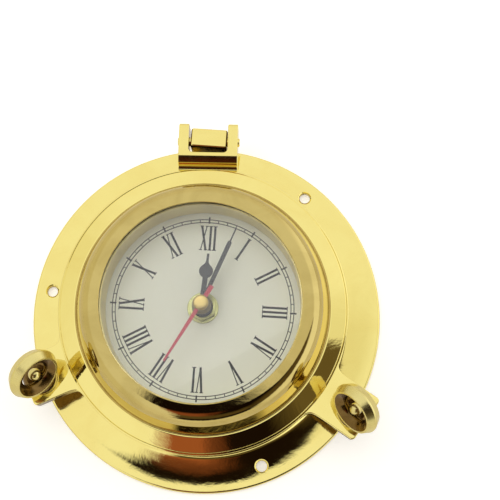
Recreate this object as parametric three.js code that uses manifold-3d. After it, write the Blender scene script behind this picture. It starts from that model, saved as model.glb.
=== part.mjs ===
// A brass porthole clock lying on its back: a dished flange, a hinged front ring with
// a domed bezel and glass, two eye screws that hold the ring shut, and a quartz movement
// behind the dial. Millimetres. The origin is the middle of the flange's back, +Z comes
// out through the glass and +Y points to the hinge. Bearings are degrees clockwise from
// the hinge, seen from the front.
import * as THREE from 'three';
import { mergeVertices } from 'three/addons/utils/BufferGeometryUtils.js';
import Module from 'manifold-3d';

const wasm = await Module();
wasm.setup();

// Clearances
const RUN_GAP = 0.3; // between pieces that move past each other
const SEAT_GAP = 0.05; // between pieces that are seated on each other
const SWING_GAP = 0.6; // between the swinging ring and the spigot it passes

// Flange and base casting
const FLANGE_RADIUS = 75;
const FLANGE_WIDTH = 14.9; // from the rim in to the front ring
const FLANGE_RIM = 2.4; // thickness at the rim
const FLANGE_RISE = 1.8; // how far the dished face climbs towards the seat
const DISH_SHARE = 0.35; // share of that climb in the outer half of the face
const RIM_ROUND = 0.8;
const FLANGE_FILLET = 3.2;
const SEAT_HEIGHT = 10.2; // the ring closes on a seat this high
const CAST_WALL = 2.5;
const SPIGOT_WALL = 5.5;
const SCREW_HOLE = 4.6;
const SCREW_HEAD = 6; // mouth of the countersink
const SCREW_INSET = 7; // from the rim to the holes
const SCREW_BEARINGS = [38, 158, 278];

// Front ring
const SKIRT_HEIGHT = 13.9;
const SKIRT_STEP = 1.1; // the seat's wall stands this far inside the skirt
const EDGE_BEAD = 0.9;
const BEAD_FLAT = 0.5;
const FACE_WIDTH = 8.3;
const FACE_RISE = 2.9;
const DOME_RUN = 9.8; // from the foot of the dome in to its crest
const DOME_RISE = 14.5;
const INNER_DOME_DEG = 40; // the inside of the dome is hollowed up to this angle
const LIP_WIDTH = 1.4;
const LIP_DEPTH = 1.25;

// Glass
const GLASS_THICKNESS = 1.5;
const GLASS_COVER = 2.3; // how far the lip covers the edge of the glass
const GASKET_THICKNESS = 0.45;
const SLEEVE_STEP = 0.4; // the sleeve stands this far inside the lip

// Hinge
const HINGE_INSET = 3; // from the rim in to the pin
const HINGE_DROP = 1.4; // the pin lies this far below the ring's edge
const HINGE_WIDTH = 25;
const EAR_THICKNESS = 4.2;
const EAR_REACH = 7; // past the pin
const EAR_ABOVE = 5.2;
const EAR_BELOW = 6.5;
const EAR_ROUND = 2.2;
const SLOT_REACH = 6; // from the pin to the web between the ears
const KNUCKLE_DEPTH = 7;
const KNUCKLE_SIDE_GAP = 0.7;
const PIN_DIAMETER = 3.6;
const PIN_STANDOUT = 0.7;
const PIN_CHAMFER = 0.45;

// Lugs and eye screws
const DOGS = {
  right: { bearing: 123.2, inset: 0.6, heading: 232 },
  left: { bearing: 245.2, inset: 3.1, heading: 128 },
}; // inset from the rim in to the screw, and the way the eye faces
const LUG_WIDTH = 20;
const LUG_THICKNESS = 5.9;
const LUG_OVERHANG = 6.5; // past the screw
const LUG_FILLET = 5;
const LUG_CORNER = 1.7;
const ROD_DIAMETER = 5;
const ROD_CHAMFER = 0.75;
const ROD_SLACK = 0.75; // round the rod in its boss
const ROD_SINK = 3.1; // of the rod in its boss
const BOSS_WALL = 2.6;
const BOSS_TOP = 7;
const EYE_RADIUS = 10.9;
const EYE_HOLE = 7.3;
const EYE_HALF_WIDTH = 3.2;
const EYE_FACE = 0.9; // flat rim of the eye
const EYE_RIDGE = 0.4; // half the flat ridge round the eye
const EYE_FLARE = 1.2; // how much the hole opens towards its mouths
const EYE_CANT_DEG = 23;
const HUB_HEIGHT = 6;
const HUB_RADIUS = 6.4;
const HUB_NECK = 4.6;
const ROD_SHOW = 8.2; // how far the rod stands up into the eye

// Dial
const DIAL_SINK = 3.9; // below the foot of the dome
const DIAL_TURN_DEG = 2.3; // the dial is turned this far clockwise from the hinge
const CARD_THICKNESS = 0.4;
const PLATE_THICKNESS = 1.5;
const DIAL_SCREW_BEARINGS = [60, 180, 300];
const DIAL_SCREW_RADIUS = 1;
const DIAL_SCREW_HEAD = 1.6;
const DIAL_SCREW_HEAD_HEIGHT = 0.8;
const DIAL_SCREW_LENGTH = 5;
const WASHER_RADIUS = 6.45;
const WASHER_THICKNESS = 0.5;
const NUT_RADIUS = 5.9;
const NUT_SIDES = 6;
const NUT_HEIGHT = 2.2;

// Hands
const HAND_THICKNESS = 0.4;
const HAND_PITCH = 1.4; // from the hour hand up to the minute hand
const SECOND_PITCH = 2.8; // from the minute hand up to the second hand
const HAND_GLASS_GAP = 0.6;
const HAND_BITE = 0.15; // a hand's hole is this much smaller than the tube it stands on
const CAP_RADIUS = 3.1;
const CAP_HEIGHT = 1.6;
const CAP_CROWN = { radius: 2, drop: 0.2 };
const HOUR_HAND = { turn: 3.2, length: 21.2, width: 2, tip: 1, tipLength: 4, hub: 4 };
const SPADE = { radius: 2.85, at: 13.9, endDeg: 60 };
const MINUTE_HAND = { turn: 20.3, length: 34.4, width: 1.8, needleFrom: 28, needle: 0.6, hub: 3.2 };
const SECOND_HAND = { turn: 208.4, length: 27.5, width: 0.9, tail: 8.2, tailWidth: 2.2, hub: 2 };

// Quartz movement
const CELL_DIAMETER = 14.2;
const CELL_LENGTH = 50;
const CELL_NUB = 1.4;
const CELL_NUB_RADIUS = 2.75;
const CELL_PLAY = 0.3;
const CONTACT_THICKNESS = 0.5;
const CONTACT_WIDTH = 7;
const CASE_WALL = 1.4;
const CASE_RIB = 1; // wall between the cell and the wheels
const COVER_THICKNESS = 1.4;
const RUBBER_THICKNESS = 0.6;
const RUBBER_RADIUS = 8;
const BUSH_RADIUS = 4;
const BUSH_BORE = 2.7;
const BUSH_TOP = 1; // above the nut
const SECOND_SHAFT = 0.5; // radius
const MINUTE_TUBE = { bore: 0.85, radius: 1.4 };
const HOUR_TUBE = { bore: 1.75, radius: 2.35 };
const ARBOR = 0.6; // radius
const PIVOT_BOSS = 1.6;
const PIVOT_HOLE = 0.9;
const PIVOT_DEPTH = 1;
const KNOB_RADIUS = 4.5;
const KNOB_HEIGHT = 2.2;
const KNOB_SHAFT = 1;
const KNOB_RIBS = 14;
const COIL_RADIUS = 2.2;
const COIL_LENGTH = 17;
const COIL_CHEEK = 1.4; // thickness of the bobbin's end discs
const COIL_WAIST = 1.85; // radius of the winding
const MAGNET_RADIUS = 3;
const MAGNET_HEIGHT = 2.2;
const STATOR_BORDER = 1.4;
const STATOR_THICKNESS = 0.8;
const BOARD_THICKNESS = 0.8;
const BOARD_SIZE = [14, 12]; // along and across the case
const CRYSTAL_RADIUS = 1;
const CRYSTAL_LENGTH = 6;

// Wheels: teeth, and the distance between the arbors that each pair works at
const LEVEL = 2; // from one layer of wheels to the next
const LAYERS = { hour: 0, motion: 1, minute: 2, third: 3, second: 4, intermediate: 5 };
const WHEEL_THICKNESS = 0.8;
const PINION_EXTRA = 0.3; // a pinion stands this far past its wheel on both sides
const TOOTH = { tip: 0.7, root: 2, halfTip: 0.08 }; // in modules, and a share of the pitch
const THIRD_DISTANCE = 11.5;
const INTERMEDIATE_DISTANCE = 9;
const ROTOR_DISTANCE = 8.8;
const MOTION_DISTANCE = 9.2;
const ROTOR_HEADING_DEG = 45;
const KNOB_HEADING_DEG = 150;
const TEETH = {
  secondPinion: 6,
  thirdWheel: 45,
  thirdPinion: 6,
  minuteWheel: 48,
  intermediatePinion: 6,
  secondWheel: 30,
  rotorPinion: 6,
  intermediateWheel: 36,
  cannonPinion: 8,
  motionWheel: 24,
  motionPinion: 8,
  hourWheel: 32,
  knobPinion: 8,
};

// Fineness of round pieces
const RING_SEGMENTS = 40;
const EYE_SEGMENTS = 24;
const ROUND_SEGMENTS = 24;
const SMALL_SEGMENTS = 12;
const DOME_STEPS = 6;
const CURVE_STEPS = 4;

// Heights and radii that follow from the sizes above
const doorRadius = FLANGE_RADIUS - FLANGE_WIDTH;
const doorBore = doorRadius - CAST_WALL;
const doorBottom = SEAT_HEIGHT + RUN_GAP;
const doorEdge = doorBottom + SKIRT_HEIGHT;
const domeFoot = doorEdge + FACE_RISE;
const domeRadius = doorRadius - FACE_WIDTH;
const crestRadius = domeRadius - DOME_RUN;
const crest = domeFoot + DOME_RISE;
const lipRadius = crestRadius - LIP_WIDTH;
const glassTop = crest - LIP_DEPTH;
const glassBottom = glassTop - GLASS_THICKNESS;
const glassRadius = lipRadius + GLASS_COVER;
const gasketBottom = glassBottom - SEAT_GAP - GASKET_THICKNESS;
const sleeveTop = gasketBottom - SEAT_GAP;
const sleeveBore = lipRadius - SLEEVE_STEP;
const hingeY = FLANGE_RADIUS - HINGE_INSET;
const hingeZ = doorEdge - HINGE_DROP;
const swingRadius = Math.hypot(hingeY - doorBore, hingeZ - doorBottom);
const spigotRadius = hingeY - swingRadius - SWING_GAP;
const spigotBore = spigotRadius - SPIGOT_WALL;
const dialFace = domeFoot - DIAL_SINK;
const plateTop = dialFace - CARD_THICKNESS - SEAT_GAP;
const plateBottom = plateTop - PLATE_THICKNESS;
const spigotTop = plateBottom - SEAT_GAP;
const seatRadius = doorRadius - SKIRT_STEP;
const washerTop = dialFace + SEAT_GAP + WASHER_THICKNESS;
const nutTop = washerTop + SEAT_GAP + NUT_HEIGHT;
const capTop = glassBottom - HAND_GLASS_GAP;
const secondHandZ = capTop - CAP_HEIGHT - SEAT_GAP - HAND_THICKNESS;
const minuteHandZ = secondHandZ - SECOND_PITCH;
const hourHandZ = minuteHandZ - HAND_PITCH;
const caseFront = plateBottom - RUBBER_THICKNESS - 2 * SEAT_GAP;
const caseInside = caseFront - CASE_WALL;
const caseBack = caseInside - CELL_DIAMETER - CELL_PLAY;
const coverTop = caseBack - SEAT_GAP;
const coverBack = coverTop - COVER_THICKNESS;
const lugTop = doorEdge;
const lugBottom = lugTop - LUG_THICKNESS;
const hubBottom = lugTop + RUN_GAP;
const eyeHeight = hubBottom + HUB_HEIGHT + EYE_HOLE + EYE_FACE;
const dialScrewCircle = spigotBore + DIAL_SCREW_HEAD;
const dialTurn = THREE.MathUtils.degToRad(DIAL_TURN_DEG);
const cardRadius = dialScrewCircle - DIAL_SCREW_HEAD - SWING_GAP;
const bushHole = BUSH_RADIUS + RUN_GAP;

// A point at a bearing and distance from the clock's axis
function polar(radius, bearing) {
  const angle = THREE.MathUtils.degToRad(bearing);
  return new THREE.Vector3(radius * Math.sin(angle), radius * Math.cos(angle), 0);
}

// Where an eye screw stands
function dogAt({ bearing, inset }) {
  return polar(FLANGE_RADIUS - inset, bearing);
}

function material(colour, roughness, metalness) {
  return new THREE.MeshStandardMaterial({ color: colour, roughness, metalness });
}

const brass = () => material('#e3c35a', 0.15, 1);
const darkHand = () => material('#2b2c2e', 0.4, 0.2);
const plastic = (colour) => material(colour, 0.6, 0);
const steel = () => material('#b9bcc0', 0.35, 1);

// Closed outline points, radius and height, turned round +Z
function turned(points, segments) {
  const outline = points.map(([radius, height]) => new THREE.Vector2(radius, height));
  const first = outline[0];
  const last = outline[outline.length - 1];
  if (first.x > 0 || last.x > 0) {
    outline.push(first.clone());
  }
  return new THREE.LatheGeometry(outline, segments).rotateX(Math.PI / 2);
}

function disc(radius, bottom, height, segments = ROUND_SEGMENTS) {
  const profile = [[0, bottom], [radius, bottom], [radius, bottom + height], [0, bottom + height]];
  return turned(profile, segments);
}

function ring(bore, radius, bottom, height, segments = ROUND_SEGMENTS) {
  const top = bottom + height;
  return turned([[bore, bottom], [radius, bottom], [radius, top], [bore, top]], segments);
}

function block(low, high) {
  const size = high.map((value, axis) => value - low[axis]);
  const middle = high.map((value, axis) => (value + low[axis]) / 2);
  return new THREE.BoxGeometry(...size).translate(...middle);
}

function plate(shape, bottom, thickness) {
  const options = { depth: thickness, bevelEnabled: false, curveSegments: CURVE_STEPS };
  return new THREE.ExtrudeGeometry(shape, options).translate(0, 0, bottom);
}

function outlineShape(points) {
  return new THREE.Shape(points.map(([x, y]) => new THREE.Vector2(x, y)));
}

// A closed geometry as a solid that can be joined and cut
function solid(geometry) {
  const bare = geometry.clone();
  bare.deleteAttribute('normal');
  bare.deleteAttribute('uv');
  const merged = mergeVertices(bare);
  return new wasm.Manifold(new wasm.Mesh({
    numProp: 3,
    vertProperties: new Float32Array(merged.attributes.position.array),
    triVerts: new Uint32Array(merged.index.array),
  }));
}

function fromSolid(body) {
  const mesh = body.getMesh();
  const geometry = new THREE.BufferGeometry();
  geometry.setAttribute('position', new THREE.BufferAttribute(mesh.vertProperties, 3));
  geometry.setIndex(new THREE.BufferAttribute(mesh.triVerts, 1));
  geometry.computeVertexNormals();
  return geometry;
}

function joined(first, ...others) {
  return fromSolid(others.reduce((sum, other) => sum.add(solid(other)), solid(first)));
}

function cut(first, ...others) {
  return fromSolid(others.reduce((rest, other) => rest.subtract(solid(other)), solid(first)));
}

const clock = new THREE.Group();
clock.name = 'porthole_clock';

function piece(name, geometry, finish, parent = clock) {
  const mesh = new THREE.Mesh(geometry, finish);
  mesh.name = name;
  parent.add(mesh);
  return mesh;
}

// A quarter ellipse from the foot of the dome up to its crest, or part of it
function domeArc(run, rise, fromDeg, toDeg, steps) {
  const points = [];
  for (let i = 0; i <= steps; i += 1) {
    const angle = THREE.MathUtils.degToRad(fromDeg + ((toDeg - fromDeg) * i) / steps);
    points.push([crestRadius + run * Math.cos(angle), domeFoot + rise * Math.sin(angle)]);
  }
  return points;
}

// Base casting: the dished flange, the seat, the spigot for the dial, the hinge knuckle
// and the bosses that take the eye screws.
function baseCasting() {
  const face = FLANGE_RIM + FLANGE_RISE;
  const filletRadius = seatRadius + FLANGE_FILLET;
  const half = FLANGE_FILLET * (1 - Math.SQRT1_2);
  const edge = RIM_ROUND;
  const cavity = seatRadius - CAST_WALL;
  const shell = turned([
    [cavity, 0],
    [FLANGE_RADIUS - edge / 2, 0],
    [FLANGE_RADIUS, edge / 2],
    [FLANGE_RADIUS, FLANGE_RIM - edge],
    [FLANGE_RADIUS - edge, FLANGE_RIM],
    [(FLANGE_RADIUS + filletRadius) / 2, FLANGE_RIM + FLANGE_RISE * DISH_SHARE],
    [filletRadius, face],
    [seatRadius + half, face + half],
    [seatRadius, face + FLANGE_FILLET],
    [seatRadius, SEAT_HEIGHT],
    [spigotRadius, SEAT_HEIGHT],
    [spigotRadius, spigotTop],
    [spigotBore, spigotTop],
    [spigotBore, SEAT_HEIGHT - CAST_WALL],
    [cavity, SEAT_HEIGHT - CAST_WALL],
  ], RING_SEGMENTS);

  const knuckleHalf = HINGE_WIDTH / 2 - EAR_THICKNESS - KNUCKLE_SIDE_GAP;
  const knuckleReach = SLOT_REACH - RUN_GAP;
  const knuckleTop = hingeZ + Math.sqrt(knuckleReach ** 2 - (KNUCKLE_DEPTH / 2) ** 2);
  const knuckle = block(
    [-knuckleHalf, hingeY - KNUCKLE_DEPTH / 2, FLANGE_RIM / 2],
    [knuckleHalf, hingeY + KNUCKLE_DEPTH / 2, knuckleTop],
  );
  const pinHole = hingePin(PIN_DIAMETER / 2 + SEAT_GAP, HINGE_WIDTH);
  const bossRadius = ROD_DIAMETER / 2 + ROD_SLACK + BOSS_WALL;
  let body = solid(shell).add(solid(knuckle)).subtract(solid(pinHole));
  for (const dog of Object.values(DOGS)) {
    const { x, y } = dogAt(dog);
    body = body.add(solid(disc(bossRadius, 0, BOSS_TOP).translate(x, y, 0)));
    const boreBottom = BOSS_TOP - ROD_SINK - RUN_GAP;
    const bore = disc(ROD_DIAMETER / 2 + ROD_SLACK, boreBottom, BOSS_TOP);
    body = body.subtract(solid(bore.translate(x, y, 0)));
  }
  for (const bearing of SCREW_BEARINGS) {
    const { x, y } = polar(FLANGE_RADIUS - SCREW_INSET, bearing);
    const sinkBottom = FLANGE_RIM - (SCREW_HEAD - SCREW_HOLE) / 2;
    const hole = turned([
      [0, -FLANGE_RIM],
      [SCREW_HOLE / 2, -FLANGE_RIM],
      [SCREW_HOLE / 2, sinkBottom],
      [SCREW_HEAD / 2, FLANGE_RIM],
      [SCREW_HEAD / 2, FLANGE_RIM + 2 * FLANGE_RISE],
      [0, FLANGE_RIM + 2 * FLANGE_RISE],
    ], ROUND_SEGMENTS);
    body = body.subtract(solid(hole.translate(x, y, 0)));
  }
  for (const bearing of DIAL_SCREW_BEARINGS) {
    const { x, y } = polar(dialScrewCircle, bearing + DIAL_TURN_DEG);
    const depth = DIAL_SCREW_LENGTH + RUN_GAP;
    const hole = disc(DIAL_SCREW_RADIUS + SEAT_GAP, spigotTop - depth, 2 * depth, SMALL_SEGMENTS);
    body = body.subtract(solid(hole.rotateZ(-dialTurn).translate(x, y, 0)));
  }
  return fromSolid(body);
}

// A rod along the hinge line
function hingePin(radius, length) {
  const chamfer = PIN_CHAMFER;
  const end = length / 2;
  const profile = [
    [0, -end],
    [radius - chamfer, -end],
    [radius, -end + chamfer],
    [radius, end - chamfer],
    [radius - chamfer, end],
    [0, end],
  ];
  return turned(profile, ROUND_SEGMENTS).rotateY(Math.PI / 2).translate(0, hingeY, hingeZ);
}

// Front ring: skirt, coned face with a beaded edge, dome, lip, two lugs and the hinge ears.
function frontRing() {
  const innerRun = DOME_RUN - CAST_WALL;
  const innerRise = DOME_RISE - CAST_WALL;
  const recess = glassRadius + RUN_GAP;
  const seatDepth = sleeveTop - 2 * GLASS_THICKNESS;
  const bead = EDGE_BEAD;
  const rim = LIP_DEPTH / 4;
  const slope = FACE_RISE / FACE_WIDTH;
  const faceAt = (radius) => doorEdge + (doorRadius - radius) * slope;
  const shell = turned([
    [doorBore, doorBottom],
    [doorRadius, doorBottom],
    [doorRadius, doorEdge - bead],
    [doorRadius - bead / 3, doorEdge - bead / 3],
    [doorRadius - bead, doorEdge],
    [doorRadius - bead - BEAD_FLAT, doorEdge],
    [doorRadius - 2 * bead, faceAt(doorRadius - 2 * bead)],
    [domeRadius + bead, domeFoot - bead * slope],
    [domeRadius + bead / 2, domeFoot - bead / 2],
    ...domeArc(DOME_RUN, DOME_RISE, 0, 90, DOME_STEPS),
    [lipRadius + rim, crest - rim],
    [lipRadius, crest - 2 * rim],
    [lipRadius, glassTop + SEAT_GAP],
    [recess, glassTop + SEAT_GAP],
    [recess, seatDepth],
    ...domeArc(innerRun, innerRise, INNER_DOME_DEG, 0, DOME_STEPS / 2),
    [crestRadius + innerRun, domeFoot - CAST_WALL],
    [doorBore, doorEdge - CAST_WALL],
  ], RING_SEGMENTS);

  let body = solid(shell);
  for (const dog of Object.values(DOGS)) {
    const slab = lug(FLANGE_RADIUS - dog.inset + LUG_OVERHANG);
    body = body.add(solid(slab.rotateZ(-THREE.MathUtils.degToRad(dog.bearing))));
    const { x, y } = dogAt(dog);
    const hole = disc(ROD_DIAMETER / 2 + RUN_GAP, lugBottom - LUG_THICKNESS, 3 * LUG_THICKNESS);
    body = body.subtract(solid(hole.translate(x, y, 0)));
  }
  return fromSolid(body.add(hingeEars()));
}

// One lug on +Y out to tip: parallel sides, a fillet at each root and rounded corners
function lug(tip) {
  const half = LUG_WIDTH / 2;
  const root = doorRadius - CAST_WALL / 2;
  const shoulder = Math.sqrt(doorRadius ** 2 - (half + LUG_FILLET) ** 2);
  const corner = LUG_CORNER;
  const swell = LUG_FILLET / 3;
  const innerHalf = half + LUG_FILLET;
  const inner = Math.sqrt(root ** 2 - innerHalf ** 2);
  const shape = new THREE.Shape();
  shape.moveTo(-innerHalf, inner);
  shape.lineTo(innerHalf, inner);
  shape.lineTo(innerHalf, shoulder);
  shape.quadraticCurveTo(half, shoulder + swell, half, shoulder + 2 * LUG_FILLET);
  shape.lineTo(half, tip - corner);
  shape.quadraticCurveTo(half, tip, half - corner, tip);
  shape.lineTo(corner - half, tip);
  shape.quadraticCurveTo(-half, tip, -half, tip - corner);
  shape.lineTo(-half, shoulder + 2 * LUG_FILLET);
  shape.quadraticCurveTo(-half, shoulder + swell, -innerHalf, shoulder);
  shape.closePath();
  const slab = solid(plate(shape, lugBottom, LUG_THICKNESS));
  const bore = disc(root, lugBottom - LUG_THICKNESS, 3 * LUG_THICKNESS, RING_SEGMENTS);
  return fromSolid(slab.subtract(solid(bore)));
}

// The clevis of the front ring: two ears on a web whose front leans up from the face
function hingeEars() {
  const top = hingeZ + EAR_ABOVE;
  const bottom = hingeZ - EAR_BELOW;
  const tip = hingeY + EAR_REACH;
  const root = doorRadius - CAST_WALL / 2;
  const web = hingeY - SLOT_REACH;
  const side = new THREE.Shape();
  side.moveTo(root, bottom);
  side.lineTo(tip - EAR_ROUND, bottom);
  side.quadraticCurveTo(tip, bottom, tip, bottom + EAR_ROUND);
  side.lineTo(tip, top - EAR_ROUND);
  side.quadraticCurveTo(tip, top, tip - EAR_ROUND, top);
  side.lineTo(web - EAR_ROUND / 2, top);
  side.quadraticCurveTo(root + CAST_WALL, top, root, doorEdge);
  side.closePath();
  const bar = plate(side, -HINGE_WIDTH / 2, HINGE_WIDTH);
  bar.rotateX(Math.PI / 2).rotateZ(Math.PI / 2);
  const slotHalf = HINGE_WIDTH / 2 - EAR_THICKNESS;
  const slot = block([-slotHalf, web, bottom - EAR_ROUND], [slotHalf, tip + EAR_REACH, top + EAR_ROUND]);
  const bore = disc(root, bottom - EAR_ROUND, doorEdge - bottom + EAR_ROUND, RING_SEGMENTS);
  const pinHole = hingePin(PIN_DIAMETER / 2 + RUN_GAP, 2 * HINGE_WIDTH);
  return solid(bar).subtract(solid(slot)).subtract(solid(bore)).subtract(solid(pinHole));
}

// An eye nut on its own screw axis: a hub and a canted ring whose hole faces heading
function eyeNut(heading) {
  const width = EYE_HALF_WIDTH;
  const mouth = EYE_HOLE + EYE_FLARE;
  const eye = turned([
    [EYE_HOLE, 0],
    [EYE_HOLE + EYE_FLARE / 4, -width / 2],
    [mouth, -width],
    [mouth + EYE_FACE, -width],
    [EYE_RADIUS, -EYE_RIDGE],
    [EYE_RADIUS, EYE_RIDGE],
    [mouth + EYE_FACE, width],
    [mouth, width],
    [EYE_HOLE + EYE_FLARE / 4, width / 2],
  ], EYE_SEGMENTS);
  const tilt = THREE.MathUtils.degToRad(90 - EYE_CANT_DEG);
  eye.rotateX(tilt).rotateZ(Math.PI - THREE.MathUtils.degToRad(heading));
  eye.translate(0, 0, eyeHeight);
  const hub = turned([
    [0, hubBottom],
    [HUB_RADIUS, hubBottom],
    [HUB_RADIUS, hubBottom + HUB_HEIGHT / 3],
    [HUB_NECK, hubBottom + HUB_HEIGHT],
    [0, hubBottom + HUB_HEIGHT],
  ], ROUND_SEGMENTS);
  const bore = disc(ROD_DIAMETER / 2 + RUN_GAP, hubBottom - HUB_HEIGHT, eyeHeight - hubBottom + HUB_HEIGHT);
  return fromSolid(solid(eye).add(solid(hub)).subtract(solid(bore)));
}

// The screw's rod, with a rounded top that shows in the eye
function dogRod() {
  const bottom = BOSS_TOP - ROD_SINK;
  const top = hubBottom + HUB_HEIGHT + ROD_SHOW;
  const radius = ROD_DIAMETER / 2;
  const points = [[0, bottom], [radius - ROD_CHAMFER, bottom], [radius, bottom + ROD_CHAMFER]];
  for (let i = 0; i <= CURVE_STEPS; i += 1) {
    const angle = (i * Math.PI) / (2 * CURVE_STEPS);
    points.push([radius * Math.cos(angle), top - radius + radius * Math.sin(angle)]);
  }
  points[points.length - 1][0] = 0;
  return turned(points, ROUND_SEGMENTS);
}

piece('base_casting', baseCasting(), brass());
piece('hinge_pin', hingePin(PIN_DIAMETER / 2, HINGE_WIDTH + 2 * PIN_STANDOUT), brass());
piece('front_ring', frontRing(), brass());
piece('glass_sleeve', ring(sleeveBore, glassRadius, dialFace + SWING_GAP, sleeveTop - dialFace - SWING_GAP,
  RING_SEGMENTS), brass());
piece('glass_gasket', ring(lipRadius + RUN_GAP, glassRadius, gasketBottom, GASKET_THICKNESS, RING_SEGMENTS),
  material('#1c1c1c', 0.8, 0));
piece('front_glass', disc(glassRadius, glassBottom, GLASS_THICKNESS, RING_SEGMENTS),
  new THREE.MeshStandardMaterial({ color: '#f4f8f6', roughness: 0.02, transparent: true, opacity: 0.25 }));

for (const [side, dog] of Object.entries(DOGS)) {
  const screw = new THREE.Group();
  screw.position.copy(dogAt(dog));
  clock.add(screw);
  piece(`dog_rod_${side}`, dogRod(), brass(), screw);
  piece(`dog_eye_${side}`, eyeNut(dog.heading), brass(), screw);
}

// Dial, its fixings, the movement and the hands, turned together to the dial's own twelve
const dial = new THREE.Group();
dial.rotation.z = -dialTurn;
clock.add(dial);

function dialPlate() {
  const holes = DIAL_SCREW_BEARINGS.map((bearing) => {
    const { x, y } = polar(dialScrewCircle, bearing);
    const bottom = plateBottom - PLATE_THICKNESS;
    const hole = disc(DIAL_SCREW_RADIUS + SEAT_GAP, bottom, 3 * PLATE_THICKNESS, SMALL_SEGMENTS);
    return hole.translate(x, y, 0);
  });
  return cut(ring(bushHole, spigotRadius - RUN_GAP, plateBottom, PLATE_THICKNESS, RING_SEGMENTS), ...holes);
}

function dialScrew() {
  const underHead = plateTop + SEAT_GAP;
  const tip = spigotTop - DIAL_SCREW_LENGTH;
  return turned([
    [0, tip],
    [DIAL_SCREW_RADIUS, tip],
    [DIAL_SCREW_RADIUS, underHead],
    [DIAL_SCREW_HEAD, underHead],
    [DIAL_SCREW_HEAD, underHead + DIAL_SCREW_HEAD_HEIGHT],
    [0, underHead + DIAL_SCREW_HEAD_HEIGHT],
  ], SMALL_SEGMENTS);
}

piece('dial_plate', dialPlate(), material('#c9ccd0', 0.4, 1), dial);
piece('dial_card', ring(bushHole, cardRadius, dialFace - CARD_THICKNESS, CARD_THICKNESS, RING_SEGMENTS),
  material('#e9ece8', 0.7, 0), dial);
DIAL_SCREW_BEARINGS.forEach((bearing, index) => {
  const screw = piece(`dial_screw_${index + 1}`, dialScrew(), steel(), dial);
  screw.position.copy(polar(dialScrewCircle, bearing));
});
piece('dial_washer', ring(bushHole, WASHER_RADIUS, dialFace + SEAT_GAP, WASHER_THICKNESS), brass(), dial);
piece('dial_nut', cut(
  disc(NUT_RADIUS, washerTop + SEAT_GAP, NUT_HEIGHT, NUT_SIDES),
  disc(bushHole, washerTop, 2 * NUT_HEIGHT),
), brass(), dial);
piece('rubber_washer', ring(bushHole, RUBBER_RADIUS, caseFront + SEAT_GAP, RUBBER_THICKNESS),
  material('#202020', 0.8, 0), dial);

// Going train. Each pair of wheels works at its own distance, which sets its module.
function moduleOf(distance, wheelTeeth, pinionTeeth) {
  return (2 * distance) / (wheelTeeth + pinionTeeth);
}

const minuteModule = moduleOf(THIRD_DISTANCE, TEETH.minuteWheel, TEETH.thirdPinion);
const thirdModule = moduleOf(THIRD_DISTANCE, TEETH.thirdWheel, TEETH.secondPinion);
const secondModule = moduleOf(INTERMEDIATE_DISTANCE, TEETH.secondWheel, TEETH.intermediatePinion);
const rotorModule = moduleOf(ROTOR_DISTANCE, TEETH.intermediateWheel, TEETH.rotorPinion);
const motionModule = moduleOf(MOTION_DISTANCE, TEETH.motionWheel, TEETH.cannonPinion);
const hourModule = moduleOf(MOTION_DISTANCE, TEETH.hourWheel, TEETH.motionPinion);
const knobDistance = (motionModule * (TEETH.motionWheel + TEETH.knobPinion)) / 2;

const rotorHeading = THREE.MathUtils.degToRad(ROTOR_HEADING_DEG);
const knobHeading = THREE.MathUtils.degToRad(KNOB_HEADING_DEG);
const thirdAt = new THREE.Vector2(0, THIRD_DISTANCE);
const intermediateAt = new THREE.Vector2(INTERMEDIATE_DISTANCE, 0);
const motionAt = new THREE.Vector2(-MOTION_DISTANCE, 0);
const rotorAt = new THREE.Vector2(ROTOR_DISTANCE, 0).rotateAround(new THREE.Vector2(), rotorHeading);
rotorAt.add(intermediateAt);
const knobAt = new THREE.Vector2(knobDistance, 0).rotateAround(new THREE.Vector2(), knobHeading);
knobAt.add(motionAt);

const tipRadius = (teeth, module) => module * (teeth / 2 + TOOTH.tip);
const layer = (name) => caseInside - RUN_GAP - WHEEL_THICKNESS - LAYERS[name] * LEVEL;
const pivotTop = coverTop + PIVOT_BOSS;
const arborBottom = pivotTop - PIVOT_DEPTH + RUN_GAP;

// A toothed disc with one tooth pointing along phase
function toothed(teeth, module, phase, bottom, thickness, bore) {
  const pitch = (teeth * module) / 2;
  const step = (2 * Math.PI) / teeth;
  const root = pitch - TOOTH.root * module;
  const tip = pitch + TOOTH.tip * module;
  const corners = [[tip, -TOOTH.halfTip], [tip, TOOTH.halfTip], [root, 0.5]];
  const points = [];
  for (let i = 0; i < teeth; i += 1) {
    for (const [radius, share] of corners) {
      const angle = phase + (i + share) * step;
      points.push([radius * Math.cos(angle), radius * Math.sin(angle)]);
    }
  }
  const shape = outlineShape(points);
  if (bore > 0) {
    const hole = new THREE.Path();
    hole.absarc(0, 0, bore, 0, 2 * Math.PI, true);
    shape.holes.push(hole);
  }
  return plate(shape, bottom, thickness);
}

function wheel(name, level, phase, module, bore = 0) {
  return toothed(TEETH[name], module, phase, layer(level), WHEEL_THICKNESS, bore);
}

function pinion(name, level, phase, module, bore = 0) {
  const bottom = layer(level) - PINION_EXTRA;
  return toothed(TEETH[name], module, phase, bottom, WHEEL_THICKNESS + 2 * PINION_EXTRA, bore);
}

// The phase of a pinion that stands at heading from a wheel and is in mesh with it
function meshed(wheelName, wheelPhase, pinionName, heading) {
  const gap = Math.PI / TEETH[pinionName];
  const lead = ((wheelPhase - heading) * TEETH[wheelName]) / TEETH[pinionName];
  return heading + Math.PI + gap - lead;
}

const toThird = Math.PI / 2;
const fromThird = -Math.PI / 2;
const toMotion = Math.PI;
const fromMotion = 0;
const fromIntermediate = Math.PI;

function spindle(radius, bottom, top) {
  return disc(radius, bottom, top - bottom, SMALL_SEGMENTS);
}

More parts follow.
